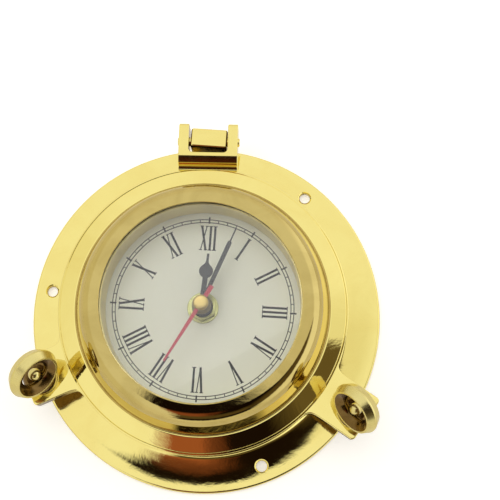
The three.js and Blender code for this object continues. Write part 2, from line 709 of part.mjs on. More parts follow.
function secondWheel() {
  return joined(
    spindle(SECOND_SHAFT, arborBottom, secondHandZ - SEAT_GAP),
    wheel('secondWheel', 'second', 0, secondModule),
    pinion('secondPinion', 'third', meshed('thirdWheel', fromThird, 'secondPinion', fromThird), thirdModule),
  );
}

function minuteWheel() {
  const { bore, radius } = MINUTE_TUBE;
  const bottom = layer('minute');
  const phase = meshed('motionWheel', fromMotion, 'cannonPinion', fromMotion);
  return joined(
    ring(bore, radius, bottom, minuteHandZ - SEAT_GAP - bottom, SMALL_SEGMENTS),
    wheel('minuteWheel', 'minute', toThird, minuteModule, bore),
    pinion('cannonPinion', 'motion', phase, motionModule, bore),
  );
}

function hourWheel() {
  const { bore, radius } = HOUR_TUBE;
  const bottom = layer('hour');
  return joined(
    ring(bore, radius, bottom, hourHandZ - SEAT_GAP - bottom, SMALL_SEGMENTS),
    wheel('hourWheel', 'hour', toMotion, hourModule, bore),
  );
}

function thirdWheel() {
  return joined(
    spindle(ARBOR, arborBottom, layer('motion')),
    wheel('thirdWheel', 'third', fromThird, thirdModule),
    pinion('thirdPinion', 'minute', meshed('minuteWheel', toThird, 'thirdPinion', toThird), minuteModule),
  );
}

function intermediateWheel() {
  return joined(
    spindle(ARBOR, arborBottom, layer('third')),
    wheel('intermediateWheel', 'intermediate', rotorHeading, rotorModule),
    pinion('intermediatePinion', 'second', meshed('secondWheel', 0, 'intermediatePinion', 0), secondModule),
  );
}

const magnetBottom = layer('second') + RUN_GAP;
const magnetTop = magnetBottom + MAGNET_HEIGHT;

function rotor() {
  const phase = meshed('intermediateWheel', rotorHeading, 'rotorPinion', rotorHeading);
  return joined(
    spindle(ARBOR, arborBottom, magnetTop + PIVOT_DEPTH),
    disc(MAGNET_RADIUS, magnetBottom, MAGNET_HEIGHT),
    pinion('rotorPinion', 'intermediate', phase, rotorModule),
  );
}

function motionWheel() {
  return joined(
    spindle(ARBOR, layer('minute') + LEVEL / 2 + RUN_GAP, caseInside + CASE_WALL / 2),
    wheel('motionWheel', 'motion', fromMotion, motionModule),
    pinion('motionPinion', 'hour', meshed('hourWheel', toMotion, 'motionPinion', toMotion), hourModule),
  );
}

const knobTop = coverBack - RUN_GAP;

function setKnob() {
  const ribModule = (2 * KNOB_RADIUS) / (KNOB_RIBS + 2 * TOOTH.tip);
  const phase = meshed('motionWheel', fromMotion, 'knobPinion', knobHeading);
  return joined(
    spindle(KNOB_SHAFT, knobTop - KNOB_HEIGHT / 2, layer('motion') + WHEEL_THICKNESS + PINION_EXTRA),
    toothed(KNOB_RIBS, ribModule, 0, knobTop - KNOB_HEIGHT, KNOB_HEIGHT, 0),
    pinion('knobPinion', 'motion', phase, motionModule),
  );
}

function placed(name, geometry, finish, at) {
  piece(name, geometry, finish, dial).position.set(at.x, at.y, 0);
}

const wheelWhite = () => plastic('#e8e4d8');
piece('second_wheel', secondWheel(), steel(), dial);
piece('minute_wheel', minuteWheel(), brass(), dial);
piece('hour_wheel', hourWheel(), brass(), dial);
placed('third_wheel', thirdWheel(), wheelWhite(), thirdAt);
placed('intermediate_wheel', intermediateWheel(), wheelWhite(), intermediateAt);
placed('motor_rotor', rotor(), material('#55575c', 0.4, 0.6), rotorAt);
placed('motion_wheel', motionWheel(), wheelWhite(), motionAt);
placed('set_knob', setKnob(), plastic('#d8d5cb'), knobAt);

// Movement case: wheels above, the cell's bay below, and the threaded bush on its front
const caseLow = -(tipRadius(TEETH.minuteWheel, minuteModule) + RUN_GAP + CASE_RIB);
const bayLow = caseLow - CELL_DIAMETER - 2 * CELL_PLAY;
const trainHigh = THIRD_DISTANCE + tipRadius(TEETH.thirdWheel, thirdModule) + RUN_GAP;
const trainTop = trainHigh + 2 * (COIL_RADIUS + RUN_GAP);
const bayHalf = CELL_LENGTH / 2 + CELL_PLAY + CONTACT_THICKNESS + RUN_GAP;
const caseHalf = bayHalf + CASE_WALL;

function movementCase() {
  const shell = block([-caseHalf, bayLow - CASE_WALL, caseBack], [caseHalf, trainTop + CASE_WALL, caseFront]);
  const wheels = block([-bayHalf, caseLow + CASE_RIB, caseBack - CASE_WALL], [bayHalf, trainTop, caseInside]);
  const cell = block([-bayHalf, bayLow, caseBack - CASE_WALL], [bayHalf, caseLow, caseInside]);
  const bush = disc(BUSH_RADIUS, caseInside, nutTop + BUSH_TOP - caseInside);
  const bossTop = caseInside + CASE_WALL / 2;
  const frontBoss = (at, bottom) => spindle(PIVOT_BOSS, bottom, bossTop).translate(at.x, at.y, 0);
  const frontHole = (at, bottom) => spindle(PIVOT_HOLE, bottom - RUN_GAP, bottom + PIVOT_DEPTH)
    .translate(at.x, at.y, 0);
  const thirdBoss = layer('motion') - PIVOT_DEPTH + RUN_GAP;
  const rotorBoss = magnetTop + RUN_GAP;
  const motionHole = spindle(PIVOT_HOLE, caseInside - CASE_WALL, caseFront - RUN_GAP)
    .translate(motionAt.x, motionAt.y, 0);
  const bushBore = disc(BUSH_BORE, caseInside - CASE_WALL, nutTop + 2 * BUSH_TOP - caseInside + CASE_WALL);
  return fromSolid(solid(shell)
    .subtract(solid(wheels))
    .subtract(solid(cell))
    .add(solid(bush))
    .add(solid(frontBoss(thirdAt, thirdBoss)))
    .add(solid(frontBoss(rotorAt, rotorBoss)))
    .subtract(solid(frontHole(thirdAt, thirdBoss)))
    .subtract(solid(frontHole(rotorAt, rotorBoss)))
    .subtract(solid(motionHole))
    .subtract(solid(bushBore)));
}

function movementCover() {
  const panel = block(
    [-caseHalf, caseLow, coverBack],
    [caseHalf, trainTop + CASE_WALL, coverTop],
  );
  const centre = new THREE.Vector2();
  let body = solid(panel);
  for (const at of [centre, thirdAt, intermediateAt, rotorAt]) {
    const boss = spindle(PIVOT_BOSS, coverBack + COVER_THICKNESS / 2, pivotTop);
    const hole = spindle(PIVOT_HOLE, pivotTop - PIVOT_DEPTH, pivotTop + PIVOT_DEPTH);
    body = body.add(solid(boss.translate(at.x, at.y, 0)));
    body = body.subtract(solid(hole.translate(at.x, at.y, 0)));
  }
  const knobHole = spindle(KNOB_SHAFT + RUN_GAP, coverBack - COVER_THICKNESS, coverTop + COVER_THICKNESS);
  return fromSolid(body.subtract(solid(knobHole.translate(knobAt.x, knobAt.y, 0))));
}

const cellY = (bayLow + caseLow) / 2;
const cellZ = caseInside - CELL_PLAY / 2 - CELL_DIAMETER / 2;

function batteryCell() {
  const radius = CELL_DIAMETER / 2;
  const nubRadius = CELL_NUB_RADIUS;
  const low = -CELL_LENGTH / 2;
  const shoulder = CELL_LENGTH / 2 - CELL_NUB;
  return turned([
    [0, low],
    [radius, low],
    [radius, shoulder],
    [nubRadius, shoulder],
    [nubRadius, CELL_LENGTH / 2],
    [0, CELL_LENGTH / 2],
  ], ROUND_SEGMENTS).rotateY(Math.PI / 2).translate(0, cellY, cellZ);
}

function cellContact(direction) {
  const inner = direction * (CELL_LENGTH / 2 + CELL_PLAY);
  const outer = inner + direction * CONTACT_THICKNESS;
  const half = CONTACT_WIDTH / 2;
  return block(
    [Math.min(inner, outer), cellY - half, cellZ - half],
    [Math.max(inner, outer), cellY + half, caseInside - SEAT_GAP],
  );
}

piece('movement_case', movementCase(), plastic('#2a2b2d'), dial);
piece('movement_cover', movementCover(), plastic('#2a2b2d'), dial);
piece('battery_cell', batteryCell(), material('#3f6f4a', 0.35, 0.3), dial);
piece('contact_plus', cellContact(1), steel(), dial);
piece('contact_minus', cellContact(-1), steel(), dial);

// Stepping motor and its circuit
const coilY = trainHigh + RUN_GAP + COIL_RADIUS;
const coilZ = coverTop + SEAT_GAP + COIL_RADIUS;
const statorBottom = (magnetBottom + magnetTop - STATOR_THICKNESS) / 2;

function motorCoil() {
  const radius = COIL_RADIUS;
  const half = COIL_LENGTH / 2;
  const inner = half - COIL_CHEEK;
  return turned([
    [0, -half],
    [radius, -half],
    [radius, -inner],
    [COIL_WAIST, -inner],
    [COIL_WAIST, inner],
    [radius, inner],
    [radius, half],
    [0, half],
  ], SMALL_SEGMENTS).rotateY(Math.PI / 2).translate(rotorAt.x, coilY, coilZ);
}

function motorStator() {
  const reach = MAGNET_RADIUS + RUN_GAP + STATOR_BORDER;
  const panel = block(
    [rotorAt.x - reach, rotorAt.y - reach, statorBottom],
    [rotorAt.x + reach, trainTop - RUN_GAP, statorBottom + STATOR_THICKNESS],
  );
  const hole = disc(MAGNET_RADIUS + RUN_GAP, statorBottom - STATOR_THICKNESS, 3 * STATOR_THICKNESS);
  return cut(panel, hole.translate(rotorAt.x, rotorAt.y, 0));
}

const boardLow = [RUN_GAP - bayHalf, trainTop - BOARD_SIZE[1], coverTop + SEAT_GAP];
const boardHigh = [
  boardLow[0] + BOARD_SIZE[0],
  trainTop - RUN_GAP,
  boardLow[2] + BOARD_THICKNESS,
];

function quartzCrystal() {
  const x = (boardLow[0] + boardHigh[0]) / 2;
  const y = (boardLow[1] + boardHigh[1]) / 2;
  const z = boardHigh[2] + SEAT_GAP + CRYSTAL_RADIUS;
  return disc(CRYSTAL_RADIUS, -CRYSTAL_LENGTH / 2, CRYSTAL_LENGTH, SMALL_SEGMENTS)
    .rotateY(Math.PI / 2).translate(x, y, z);
}

piece('motor_coil', motorCoil(), material('#b5652a', 0.4, 0.8), dial);
piece('motor_stator', motorStator(), steel(), dial);
piece('circuit_board', block(boardLow, boardHigh), plastic('#2f6b3c'), dial);
piece('quartz_crystal', quartzCrystal(), steel(), dial);

// Hands point along +Y before they are turned to the time shown
function handBlank(points, hub, bore) {
  const blade = solid(plate(outlineShape(points), 0, HAND_THICKNESS));
  const boss = solid(disc(hub, 0, HAND_THICKNESS));
  const hole = disc(bore, -HAND_THICKNESS, 3 * HAND_THICKNESS, SMALL_SEGMENTS);
  return fromSolid(blade.add(boss).subtract(solid(hole)));
}

function mirrored(rightSide) {
  const leftSide = rightSide.map(([x, y]) => [-x, y]).reverse();
  return [...rightSide, ...leftSide.filter(([x]) => x !== 0)];
}

function hourHand() {
  const { length, width, tip, tipLength, hub } = HOUR_HAND;
  const right = [[width / 2, 0]];
  const start = Math.asin(width / 2 / SPADE.radius) - Math.PI / 2;
  const end = THREE.MathUtils.degToRad(SPADE.endDeg);
  for (let i = 0; i <= DOME_STEPS; i += 1) {
    const angle = start + ((end - start) * i) / DOME_STEPS;
    right.push([SPADE.radius * Math.cos(angle), SPADE.at + SPADE.radius * Math.sin(angle)]);
  }
  right.push([tip / 2, length - tipLength + tip]);
  right.push([tip / 2, length]);
  return handBlank(mirrored(right), hub, HOUR_TUBE.radius - HAND_BITE);
}

function minuteHand() {
  const { length, width, needleFrom, needle, hub } = MINUTE_HAND;
  const right = [
    [width / 2, 0],
    [width / 2, needleFrom],
    [needle / 2, needleFrom + needle],
    [needle / 2, length],
  ];
  return handBlank(mirrored(right), hub, MINUTE_TUBE.radius - HAND_BITE);
}

function secondHand() {
  const { length, width, tail, tailWidth, hub } = SECOND_HAND;
  const right = [[tailWidth / 2, -tail], [tailWidth / 2, -hub], [width / 2, 0], [width / 4, length]];
  return handBlank(mirrored(right), hub, SECOND_SHAFT - HAND_BITE);
}

function hand(name, geometry, finish, turn, height) {
  const mesh = piece(name, geometry, finish, dial);
  mesh.rotation.z = -THREE.MathUtils.degToRad(turn);
  mesh.position.z = height;
}

hand('hour_hand', hourHand(), darkHand(), HOUR_HAND.turn, hourHandZ);
hand('minute_hand', minuteHand(), darkHand(), MINUTE_HAND.turn, minuteHandZ);
hand('second_hand', secondHand(), material('#d5284a', 0.4, 0), SECOND_HAND.turn, secondHandZ);
const capProfile = [
  [0, capTop - CAP_HEIGHT],
  [CAP_RADIUS, capTop - CAP_HEIGHT],
  [CAP_RADIUS, capTop - CAP_HEIGHT / 2],
  [CAP_CROWN.radius, capTop - CAP_CROWN.drop],
  [0, capTop],
];
piece('hand_cap', turned(capProfile, ROUND_SEGMENTS), brass(), dial);

export default clock;
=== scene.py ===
# %% [markdown]
# # A brass porthole clock
# The clock lies on its back: a dished flange, a hinged front ring with a domed bezel and glass, two eye
# screws, a Roman dial and three hands. The solids come from the CAD frame, where every size and joint is
# settled. Here each surface that shows gets a smooth, finished shape in the same place, and then its finish.

# %% Load the frame
import math

import bmesh
import bpy
from mathutils import Matrix, Vector


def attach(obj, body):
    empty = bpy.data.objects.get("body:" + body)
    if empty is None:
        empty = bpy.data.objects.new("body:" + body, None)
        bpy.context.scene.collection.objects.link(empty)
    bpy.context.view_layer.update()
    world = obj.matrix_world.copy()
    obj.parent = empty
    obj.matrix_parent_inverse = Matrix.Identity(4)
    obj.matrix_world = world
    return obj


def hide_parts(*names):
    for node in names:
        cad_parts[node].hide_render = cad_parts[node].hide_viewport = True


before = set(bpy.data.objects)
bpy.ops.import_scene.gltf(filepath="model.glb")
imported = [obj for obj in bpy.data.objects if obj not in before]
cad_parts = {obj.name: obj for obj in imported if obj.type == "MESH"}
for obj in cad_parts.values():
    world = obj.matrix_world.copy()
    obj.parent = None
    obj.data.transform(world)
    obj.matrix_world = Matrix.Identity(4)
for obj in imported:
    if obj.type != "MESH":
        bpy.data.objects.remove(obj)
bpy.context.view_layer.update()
MM = 0.001

# %% [markdown]
# ## Camera
# The view was worked out from the circles of the clock, which show as ellipses. The camera looks down, a
# little from the six o'clock side. The turn and the shift below carry the clock into the camera's view, so
# the matrix that places the camera is their inverse.

# %% Camera
IMAGE_PIXELS = 500
SENSOR_MM = 36
FOCAL_PIXELS = 1093.0
VIEW_TURN_DEG = {"X": -12.363, "Y": -1.148, "Z": -1.44}
VIEW_SHIFT = Vector((-18.95, -29.12, -474.9)) * MM
NEAREST = 0.01


def view_matrix():
    turn = Matrix.Identity(4)
    for axis, angle in VIEW_TURN_DEG.items():
        turn = turn @ Matrix.Rotation(math.radians(angle), 4, axis)
    return (Matrix.Translation(VIEW_SHIFT) @ turn).inverted()


camera = bpy.data.objects.new("camera", bpy.data.cameras.new("camera"))
camera.data.sensor_width = SENSOR_MM
camera.data.lens = FOCAL_PIXELS / IMAGE_PIXELS * SENSOR_MM
camera.data.clip_start = NEAREST
camera.matrix_world = view_matrix()
bpy.context.scene.collection.objects.link(camera)
bpy.context.scene.camera = camera
bpy.context.scene.view_settings.view_transform = "Standard"
print("camera at", [round(value, 4) for value in camera.matrix_world.translation])

# %% [markdown]
# ## Curves
# Most of the clock is turned on a lathe, so a profile of radius and height makes most pieces. A profile is a
# list of points in millimetres. Arcs round its corners, and a free curve with two handles gives the swept
# stretches that a buffing wheel leaves. Both are worked out point by point, which keeps every size exact.

# %% Curves
def arc(centre, radius, start_deg, end_deg, steps):
    points = []
    for i in range(steps + 1):
        angle = math.radians(start_deg + (end_deg - start_deg) * i / steps)
        points.append((centre[0] + radius * math.cos(angle), centre[1] + radius * math.sin(angle)))
    return points


def top_round(edge, top, rounding, steps):
    return arc((edge - rounding, top - rounding), rounding, 0, 90, steps)


def bottom_round(edge, bottom, rounding, steps):
    return arc((edge - rounding, bottom + rounding), rounding, -90, 0, steps)


def flow(first, lead, trail, last, steps):
    points = []
    corners = (first, lead, trail, last)
    for i in range(steps + 1):
        t = i / steps
        weights = ((1 - t) ** 3, 3 * t * (1 - t) ** 2, 3 * t * t * (1 - t), t ** 3)
        points.append(tuple(sum(w * c[axis] for w, c in zip(weights, corners)) for axis in (0, 1)))
    return points


def bent(first, corner, last, steps):
    return flow(first, corner, corner, last, steps)


print("points on a rounded corner:", len(top_round(10, 5, 1, 8)))

# %% [markdown]
# ## Meshes
# A lathe spins a profile about the Z axis, and a slab pulls a flat outline up to its thickness. Each longer
# straight edge of a profile gets a point close to either end, so that smooth shading stays flat between the
# corners. A plug is the plainest turned form. It cuts bores and makes the hubs of the hands.

# %% Meshes
SMOOTH_DEG = 32
LATHE_STEPS = 256
WELD = 1e-7
ON_AXIS = 1e-6
HOLD = 0.12
LEAST_HELD = 5 * HOLD
UNMOVED = Matrix.Identity(4)


def new_piece(name, mesh):
    piece = bpy.data.objects.new(name, mesh)
    bpy.context.scene.collection.objects.link(piece)
    return piece


def drawn_mesh(name, work):
    mesh = bpy.data.meshes.new(name)
    work.to_mesh(mesh)
    work.free()
    return mesh


def closed_mesh(name, work):
    bmesh.ops.remove_doubles(work, verts=work.verts, dist=WELD)
    bmesh.ops.recalc_face_normals(work, faces=work.faces)
    return drawn_mesh(name, work)


def smooth(piece):
    piece.data.shade_smooth()
    piece.data.set_sharp_from_angle(angle=math.radians(SMOOTH_DEG))
    return piece


def held(profile):
    points = []
    for first, last in zip(profile, profile[1:] + profile[:1]):
        points.append(first)
        length = math.dist(first, last)
        if length > LEAST_HELD:
            for along in (HOLD / length, 1 - HOLD / length):
                points.append(tuple(a + (b - a) * along for a, b in zip(first, last)))
    return points


def lathe_mesh(name, profile, steps):
    work = bmesh.new()
    turns = [2 * math.pi * i / steps for i in range(steps)]
    rings = []
    for radius, height in held(profile):
        reach, z = radius * MM, height * MM
        if radius < ON_AXIS:
            rings.append([work.verts.new((0, 0, z))])
        else:
            rings.append([work.verts.new((reach * math.cos(a), reach * math.sin(a), z)) for a in turns])
    for low, high in zip(rings, rings[1:] + rings[:1]):
        if len(low) == 1 and len(high) == 1:
            continue
        for i in range(steps):
            j = (i + 1) % steps
            corners = [low[i % len(low)], low[j % len(low)], high[j % len(high)], high[i % len(high)]]
            work.faces.new(list(dict.fromkeys(corners)))
    return closed_mesh(name, work)


def lathe(name, profile, steps=LATHE_STEPS, spot=UNMOVED):
    mesh = lathe_mesh(name, profile, steps)
    mesh.transform(spot)
    return smooth(new_piece(name, mesh))


def plug(name, radius, bottom, top, steps, spot=UNMOVED):
    return lathe(name, [(0, bottom), (radius, bottom), (radius, top), (0, top)], steps, spot)


def add_prism(work, outline, bottom, top, turn=UNMOVED):
    low, high = (
        [work.verts.new(turn @ Vector((x * MM, y * MM, z * MM))) for x, y in outline]
        for z in (bottom, top)
    )
    work.faces.new(low)
    work.faces.new(high)
    for i in range(len(outline)):
        j = (i + 1) % len(outline)
        work.faces.new((low[i], low[j], high[j], high[i]))


def rounded_disc(radius, bottom, top, rounding, steps):
    lower, upper = (bottom_round(radius, bottom, rounding, steps), top_round(radius, top, rounding, steps))
    return [(0, bottom), *lower, *upper, (0, top)]


def slab(name, outline, bottom, top, spot=UNMOVED):
    work = bmesh.new()
    add_prism(work, outline, bottom, top)
    mesh = closed_mesh(name, work)
    mesh.transform(spot)
    return new_piece(name, mesh)


print("steps round a turned piece:", LATHE_STEPS)

# %% [markdown]
# ## Cutting and rounding
# Booleans cut holes, and bevels round edges. Both are worked out at once and kept as plain meshes, so that a
# finished piece has no live modifiers. After a bevel, normals weighted by the size of their faces keep flat
# faces flat in reflections, where plain smoothing would bend them.

# %% Cutting and rounding
EDGE_DEG = 35


def settle(piece):
    graph = bpy.context.evaluated_depsgraph_get()
    mesh = bpy.data.meshes.new_from_object(piece.evaluated_get(graph))
    piece.modifiers.clear()
    piece.data = mesh
    return piece


def carve(piece, cutters, operation="DIFFERENCE"):
    for cutter in cutters:
        step = piece.modifiers.new("carve", "BOOLEAN")
        step.operation = operation
        step.solver = "EXACT"
        step.object = cutter
    settle(piece)
    for cutter in cutters:
        bpy.data.objects.remove(cutter)
    return piece


def round_edges(piece, width, steps, angle_deg=EDGE_DEG):
    step = piece.modifiers.new("round", "BEVEL")
    step.width = width * MM
    step.segments = steps
    step.limit_method = "ANGLE"
    step.angle_limit = math.radians(angle_deg)
    smooth(settle(piece))
    piece.modifiers.new("even", "WEIGHTED_NORMAL").keep_sharp = True
    return settle(piece)


print("edges are rounded from", EDGE_DEG, "degrees up")

# %% [markdown]
# ## Placing and keeping
# Places round the clock are given as on a dial: a radius and a bearing, clockwise from the hinge. Pieces that
# are one casting are gathered into one mesh, and some faces of a piece may take another of its finishes.
# Every finished piece is tied to its body, takes its finishes, and hides the solid that it stands for, if
# any.

# %% Placing and keeping
def polar(radius, bearing_deg):
    angle = math.radians(bearing_deg)
    return (radius * math.sin(angle), radius * math.cos(angle))


def turned(bearing_deg):
    return Matrix.Rotation(-math.radians(bearing_deg), 4, "Z")


def moved(x, y, z):
    return Matrix.Translation(Vector((x, y, z)) * MM)


def gather(first, *others):
    work = bmesh.new()
    for piece in (first, *others):
        work.from_mesh(piece.data)
    work.to_mesh(first.data)
    work.free()
    for piece in others:
        bpy.data.objects.remove(piece)
    return first


def mark_faces(piece, test, finish=1):
    for face in piece.data.polygons:
        face.material_index = finish if test(face) else 0
    return piece


def keep(piece, finish, body, slot, *nodes):
    finishes = finish if isinstance(finish, tuple) else (finish,)
    slots = piece.data.materials
    while len(slots) < len(finishes):
        slots.append(None)
    while len(slots) > len(finishes):
        slots.pop()
    for i, one in enumerate(finishes):
        slots[i] = one
    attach(piece, body)
    if nodes:
        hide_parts(*nodes)
    print(piece.name, "faces:", len(piece.data.polygons))


# %% [markdown]
# ## Node tools
# A finish is a tree of nodes. One helper places a node and fills its sockets, with a value or with a link
# from another socket, so that a tree reads from top to bottom like a recipe. The others are the nodes that
# recur: a mix of two colours, a ramp that rises or falls, a step of arithmetic, a product and a noise.

# %% Node tools
MIX_FACTOR, MIX_A, MIX_B, MIX_RESULT = 0, 6, 7, 2


def place(tree, kind, inputs=None, **settings):
    made = tree.nodes.new(kind)
    for name, value in settings.items():
        setattr(made, name, value)
    for key, value in (inputs or {}).items():
        if isinstance(value, bpy.types.NodeSocket):
            tree.links.new(value, made.inputs[key])
        else:
            made.inputs[key].default_value = value
    return made


def mixed(tree, factor, first, second):
    inputs = {MIX_FACTOR: factor, MIX_A: first, MIX_B: second}
    return place(tree, "ShaderNodeMix", inputs, data_type="RGBA").outputs[MIX_RESULT]


def ranged(tree, value, low, high, to_low, to_high):
    inputs = {"Value": value, "From Min": low, "From Max": high, "To Min": to_low, "To Max": to_high}
    return place(tree, "ShaderNodeMapRange", inputs).outputs["Result"]


def rises(tree, value, start, end):
    return ranged(tree, value, start, end, 0.0, 1.0)


def falls(tree, value, start, end):
    return ranged(tree, value, start, end, 1.0, 0.0)


def reckon(tree, operation, first, second):
    return place(tree, "ShaderNodeMath", {0: first, 1: second}, operation=operation).outputs[0]


def product(tree, first, *others):
    for other in others:
        first = reckon(tree, "MULTIPLY", first, other)
    return first


def noise(tree, where, scale, **settings):
    inputs = {"Vector": where, "Scale": scale, **settings}
    return place(tree, "ShaderNodeTexNoise", inputs).outputs["Fac"]


print("helpers ready, materials so far:", len(bpy.data.materials))

# %% [markdown]
# ## Marks that several finishes share
# Polished brass carries a thin haze of finger marks and the finest hairlines of the buffing wheel. Moulded
# and painted pieces carry a fine grain. Each is a node group, built once, that gives a mask and a height, and
# every material sets its own scale. The shaders stay in the materials.

# %% Shared marks
HAZE_RANGE = (0.42, 0.72)
SPECK_FINENESS = 22.0
CLOUD_SHARE, SPECK_SHARE = 0.8, 0.05
GRAIN_RANGE = (0.3, 0.7)
PORE_FINENESS = 9.0


def open_sockets(tree, way, kinds):
    for label, kind in kinds.items():
        tree.interface.new_socket(label, in_out=way, socket_type=f"NodeSocket{kind}")


def new_group(name, mask):
    tree = bpy.data.node_groups.new(name, "ShaderNodeTree")
    open_sockets(tree, "INPUT", {"Vector": "Vector", "Scale": "Float"})
    open_sockets(tree, "OUTPUT", {mask: "Float", "Height": "Float"})
    return tree, place(tree, "NodeGroupInput").outputs, place(tree, "NodeGroupOutput").inputs


def build_buffing():
    tree, given, result = new_group("buffing_marks", "Haze")
    cloud = noise(tree, given["Vector"], given["Scale"], Detail=5.0, Roughness=0.6, Distortion=0.8)
    fine_scale = product(tree, given["Scale"], SPECK_FINENESS)
    specks = noise(tree, given["Vector"], fine_scale, Detail=2.0)
    height = reckon(tree, "ADD", product(tree, cloud, CLOUD_SHARE), product(tree, specks, SPECK_SHARE))
    tree.links.new(rises(tree, cloud, *HAZE_RANGE), result["Haze"])
    tree.links.new(height, result["Height"])
    return tree


def build_grain():
    tree, given, result = new_group("fine_grain", "Mask")
    coarse = noise(tree, given["Vector"], given["Scale"], Detail=4.0, Roughness=0.55)
    fine_scale = product(tree, given["Scale"], PORE_FINENESS)
    pores = noise(tree, given["Vector"], fine_scale, Detail=3.0)
    tree.links.new(rises(tree, coarse, *GRAIN_RANGE), result["Mask"])
    tree.links.new(pores, result["Height"])
    return tree


BUFFING = build_buffing()
GRAIN = build_grain()
print("shared marks:", BUFFING.name, GRAIN.name)

# %% [markdown]
# ## Finishes
# Brass takes its colour in the reflection, so its base colour is what a white sheet looks like in it. The
# haze makes it a little duller and rougher in patches. Satin brass is the same metal left from the lathe. The
# plain pieces share one recipe: two close colours, a roughness range and a slight grain.

# %% Recipes
HAZE_VEIL = 0.5
BUFF_STRENGTH, BUFF_HEIGHT = 0.12, 0.0008
GRAIN_STRENGTH, GRAIN_HEIGHT = 0.15, 0.0001
PLAIN_GLOSS = 0.5


def new_finish(name):
    finish = bpy.data.materials.new(name)
    finish.use_nodes = True
    tree = finish.node_tree
    shader = tree.nodes["Principled BSDF"]
    where = place(tree, "ShaderNodeTexCoord").outputs["Object"]
    return finish, tree, shader, where


def opaque(colour):
    return (*colour, 1)


def marks(tree, group, where, scale):
    return place(tree, "ShaderNodeGroup", {"Vector": where, "Scale": scale}, node_tree=group).outputs


def raised(tree, height, strength, distance):
    inputs = {"Height": height, "Strength": strength, "Distance": distance}
    return place(tree, "ShaderNodeBump", inputs).outputs["Normal"]


def feed(tree, shader, sources):
    for name, source in sources.items():
        tree.links.new(source, shader.inputs[name])


def brass_finish(name, bright, dull, smoothest, roughest, scale):
    finish, tree, shader, where = new_finish(name)
    buffed = marks(tree, BUFFING, where, scale)
    veil = product(tree, buffed["Haze"], HAZE_VEIL)
    feed(tree, shader, {
        "Base Color": mixed(tree, veil, opaque(bright), opaque(dull)),
        "Roughness": ranged(tree, buffed["Haze"], 0.0, 1.0, smoothest, roughest),
        "Normal": raised(tree, buffed["Height"], BUFF_STRENGTH, BUFF_HEIGHT),
    })
    shader.inputs["Metallic"].default_value = 1.0
    return finish


def plain_finish(name, first, second, smoothest, roughest, scale,
                 metallic=0.0, grain=GRAIN_STRENGTH, gloss=PLAIN_GLOSS):
    finish, tree, shader, where = new_finish(name)
    grained = marks(tree, GRAIN, where, scale)
    feed(tree, shader, {
        "Base Color": mixed(tree, grained["Mask"], opaque(first), opaque(second)),
        "Roughness": ranged(tree, grained["Mask"], 0.0, 1.0, smoothest, roughest),
        "Normal": raised(tree, grained["Height"], grain, GRAIN_HEIGHT),
    })
    shader.inputs["Metallic"].default_value = metallic
    shader.inputs["Specular IOR Level"].default_value = gloss
    return finish


print("recipes: brass and plain")

# %% [markdown]
# The brass differs from place to place. The flange and the face are mirror bright, the eyes brushed, and the
# sleeve satin. The dome takes a darker brass as painted shade. Washer and nut take an olive brass as painted
# shade under the glass. Recesses, undersides and hollows take a very dark brass as painted shade. Each line
# gives a bright and a dull colour, least and most roughness and a scale.

# %% Brass finishes
polished_brass = brass_finish("polished_brass", (0.91, 0.775, 0.265), (0.86, 0.69, 0.21), 0.035, 0.1, 55)
# The dome's darker brass is painted shade.
bezel_shade_brass = brass_finish("bezel_shade_brass", (0.61, 0.48, 0.165), (0.42, 0.315, 0.09), 0.035, 0.09, 55)
eye_brass = brass_finish("eye_brass", (0.76, 0.65, 0.25), (0.6, 0.48, 0.16), 0.22, 0.34, 90)
satin_brass = brass_finish("satin_brass", (0.8, 0.68, 0.29), (0.7, 0.58, 0.22), 0.32, 0.42, 70)
# The olive brass of washer and nut is painted shade under the glass.
olive_shade_brass = brass_finish("olive_shade_brass", (0.44, 0.44, 0.18), (0.35, 0.34, 0.13), 0.28, 0.4, 200)
# The very dark brass is painted shade for recesses, undersides and hollows.
recess_shade_brass = brass_finish("recess_shade_brass", (0.19, 0.115, 0.034), (0.08, 0.042, 0.012), 0.14, 0.28, 260)
gilt = brass_finish("gilt_cap", (0.5, 0.38, 0.13), (0.44, 0.33, 0.105), 0.28, 0.4, 200)
print("brass finishes:", len(bpy.data.materials))

# %% [markdown]
# Paper, ink and paint are plain, and so are the steel, rubber and plastic of the movement. The ink is matt,
# with hardly any gloss, so that the numerals stay black under a white room.

# %% Plain finishes
dial_paper = plain_finish("dial_paper", (0.82, 0.83, 0.69), (0.8, 0.81, 0.67), 0.55, 0.7, 90, grain=0.06)
dial_ink = plain_finish("dial_ink", (0.008, 0.008, 0.007), (0.018, 0.018, 0.015), 0.5, 0.65, 400, gloss=0.05)
hand_red = plain_finish("hand_red", (0.45, 0.03, 0.05), (0.5, 0.04, 0.065), 0.35, 0.5, 300)
steel = plain_finish("plain_steel", (0.52, 0.53, 0.54), (0.6, 0.61, 0.62), 0.28, 0.42, 180, metallic=1.0)
black_rubber = plain_finish("black_rubber", (0.012, 0.012, 0.012), (0.022, 0.022, 0.022), 0.6, 0.8, 200)
wheel_plastic = plain_finish("wheel_plastic", (0.72, 0.7, 0.62), (0.78, 0.76, 0.68), 0.4, 0.55, 150)
magnet_grey = plain_finish("magnet_grey", (0.05, 0.05, 0.055), (0.08, 0.08, 0.085), 0.4, 0.55, 200)
case_black = plain_finish("case_black", (0.012, 0.012, 0.013), (0.02, 0.02, 0.021), 0.42, 0.6, 120)
knob_plastic = plain_finish("knob_plastic", (0.6, 0.59, 0.53), (0.66, 0.65, 0.6), 0.4, 0.55, 150)
cell_sleeve = plain_finish("cell_sleeve", (0.03, 0.15, 0.055), (0.045, 0.19, 0.075), 0.22, 0.34, 60)
coil_copper = plain_finish("coil_copper", (0.5, 0.17, 0.05), (0.62, 0.24, 0.08), 0.25, 0.4, 500, metallic=1.0)
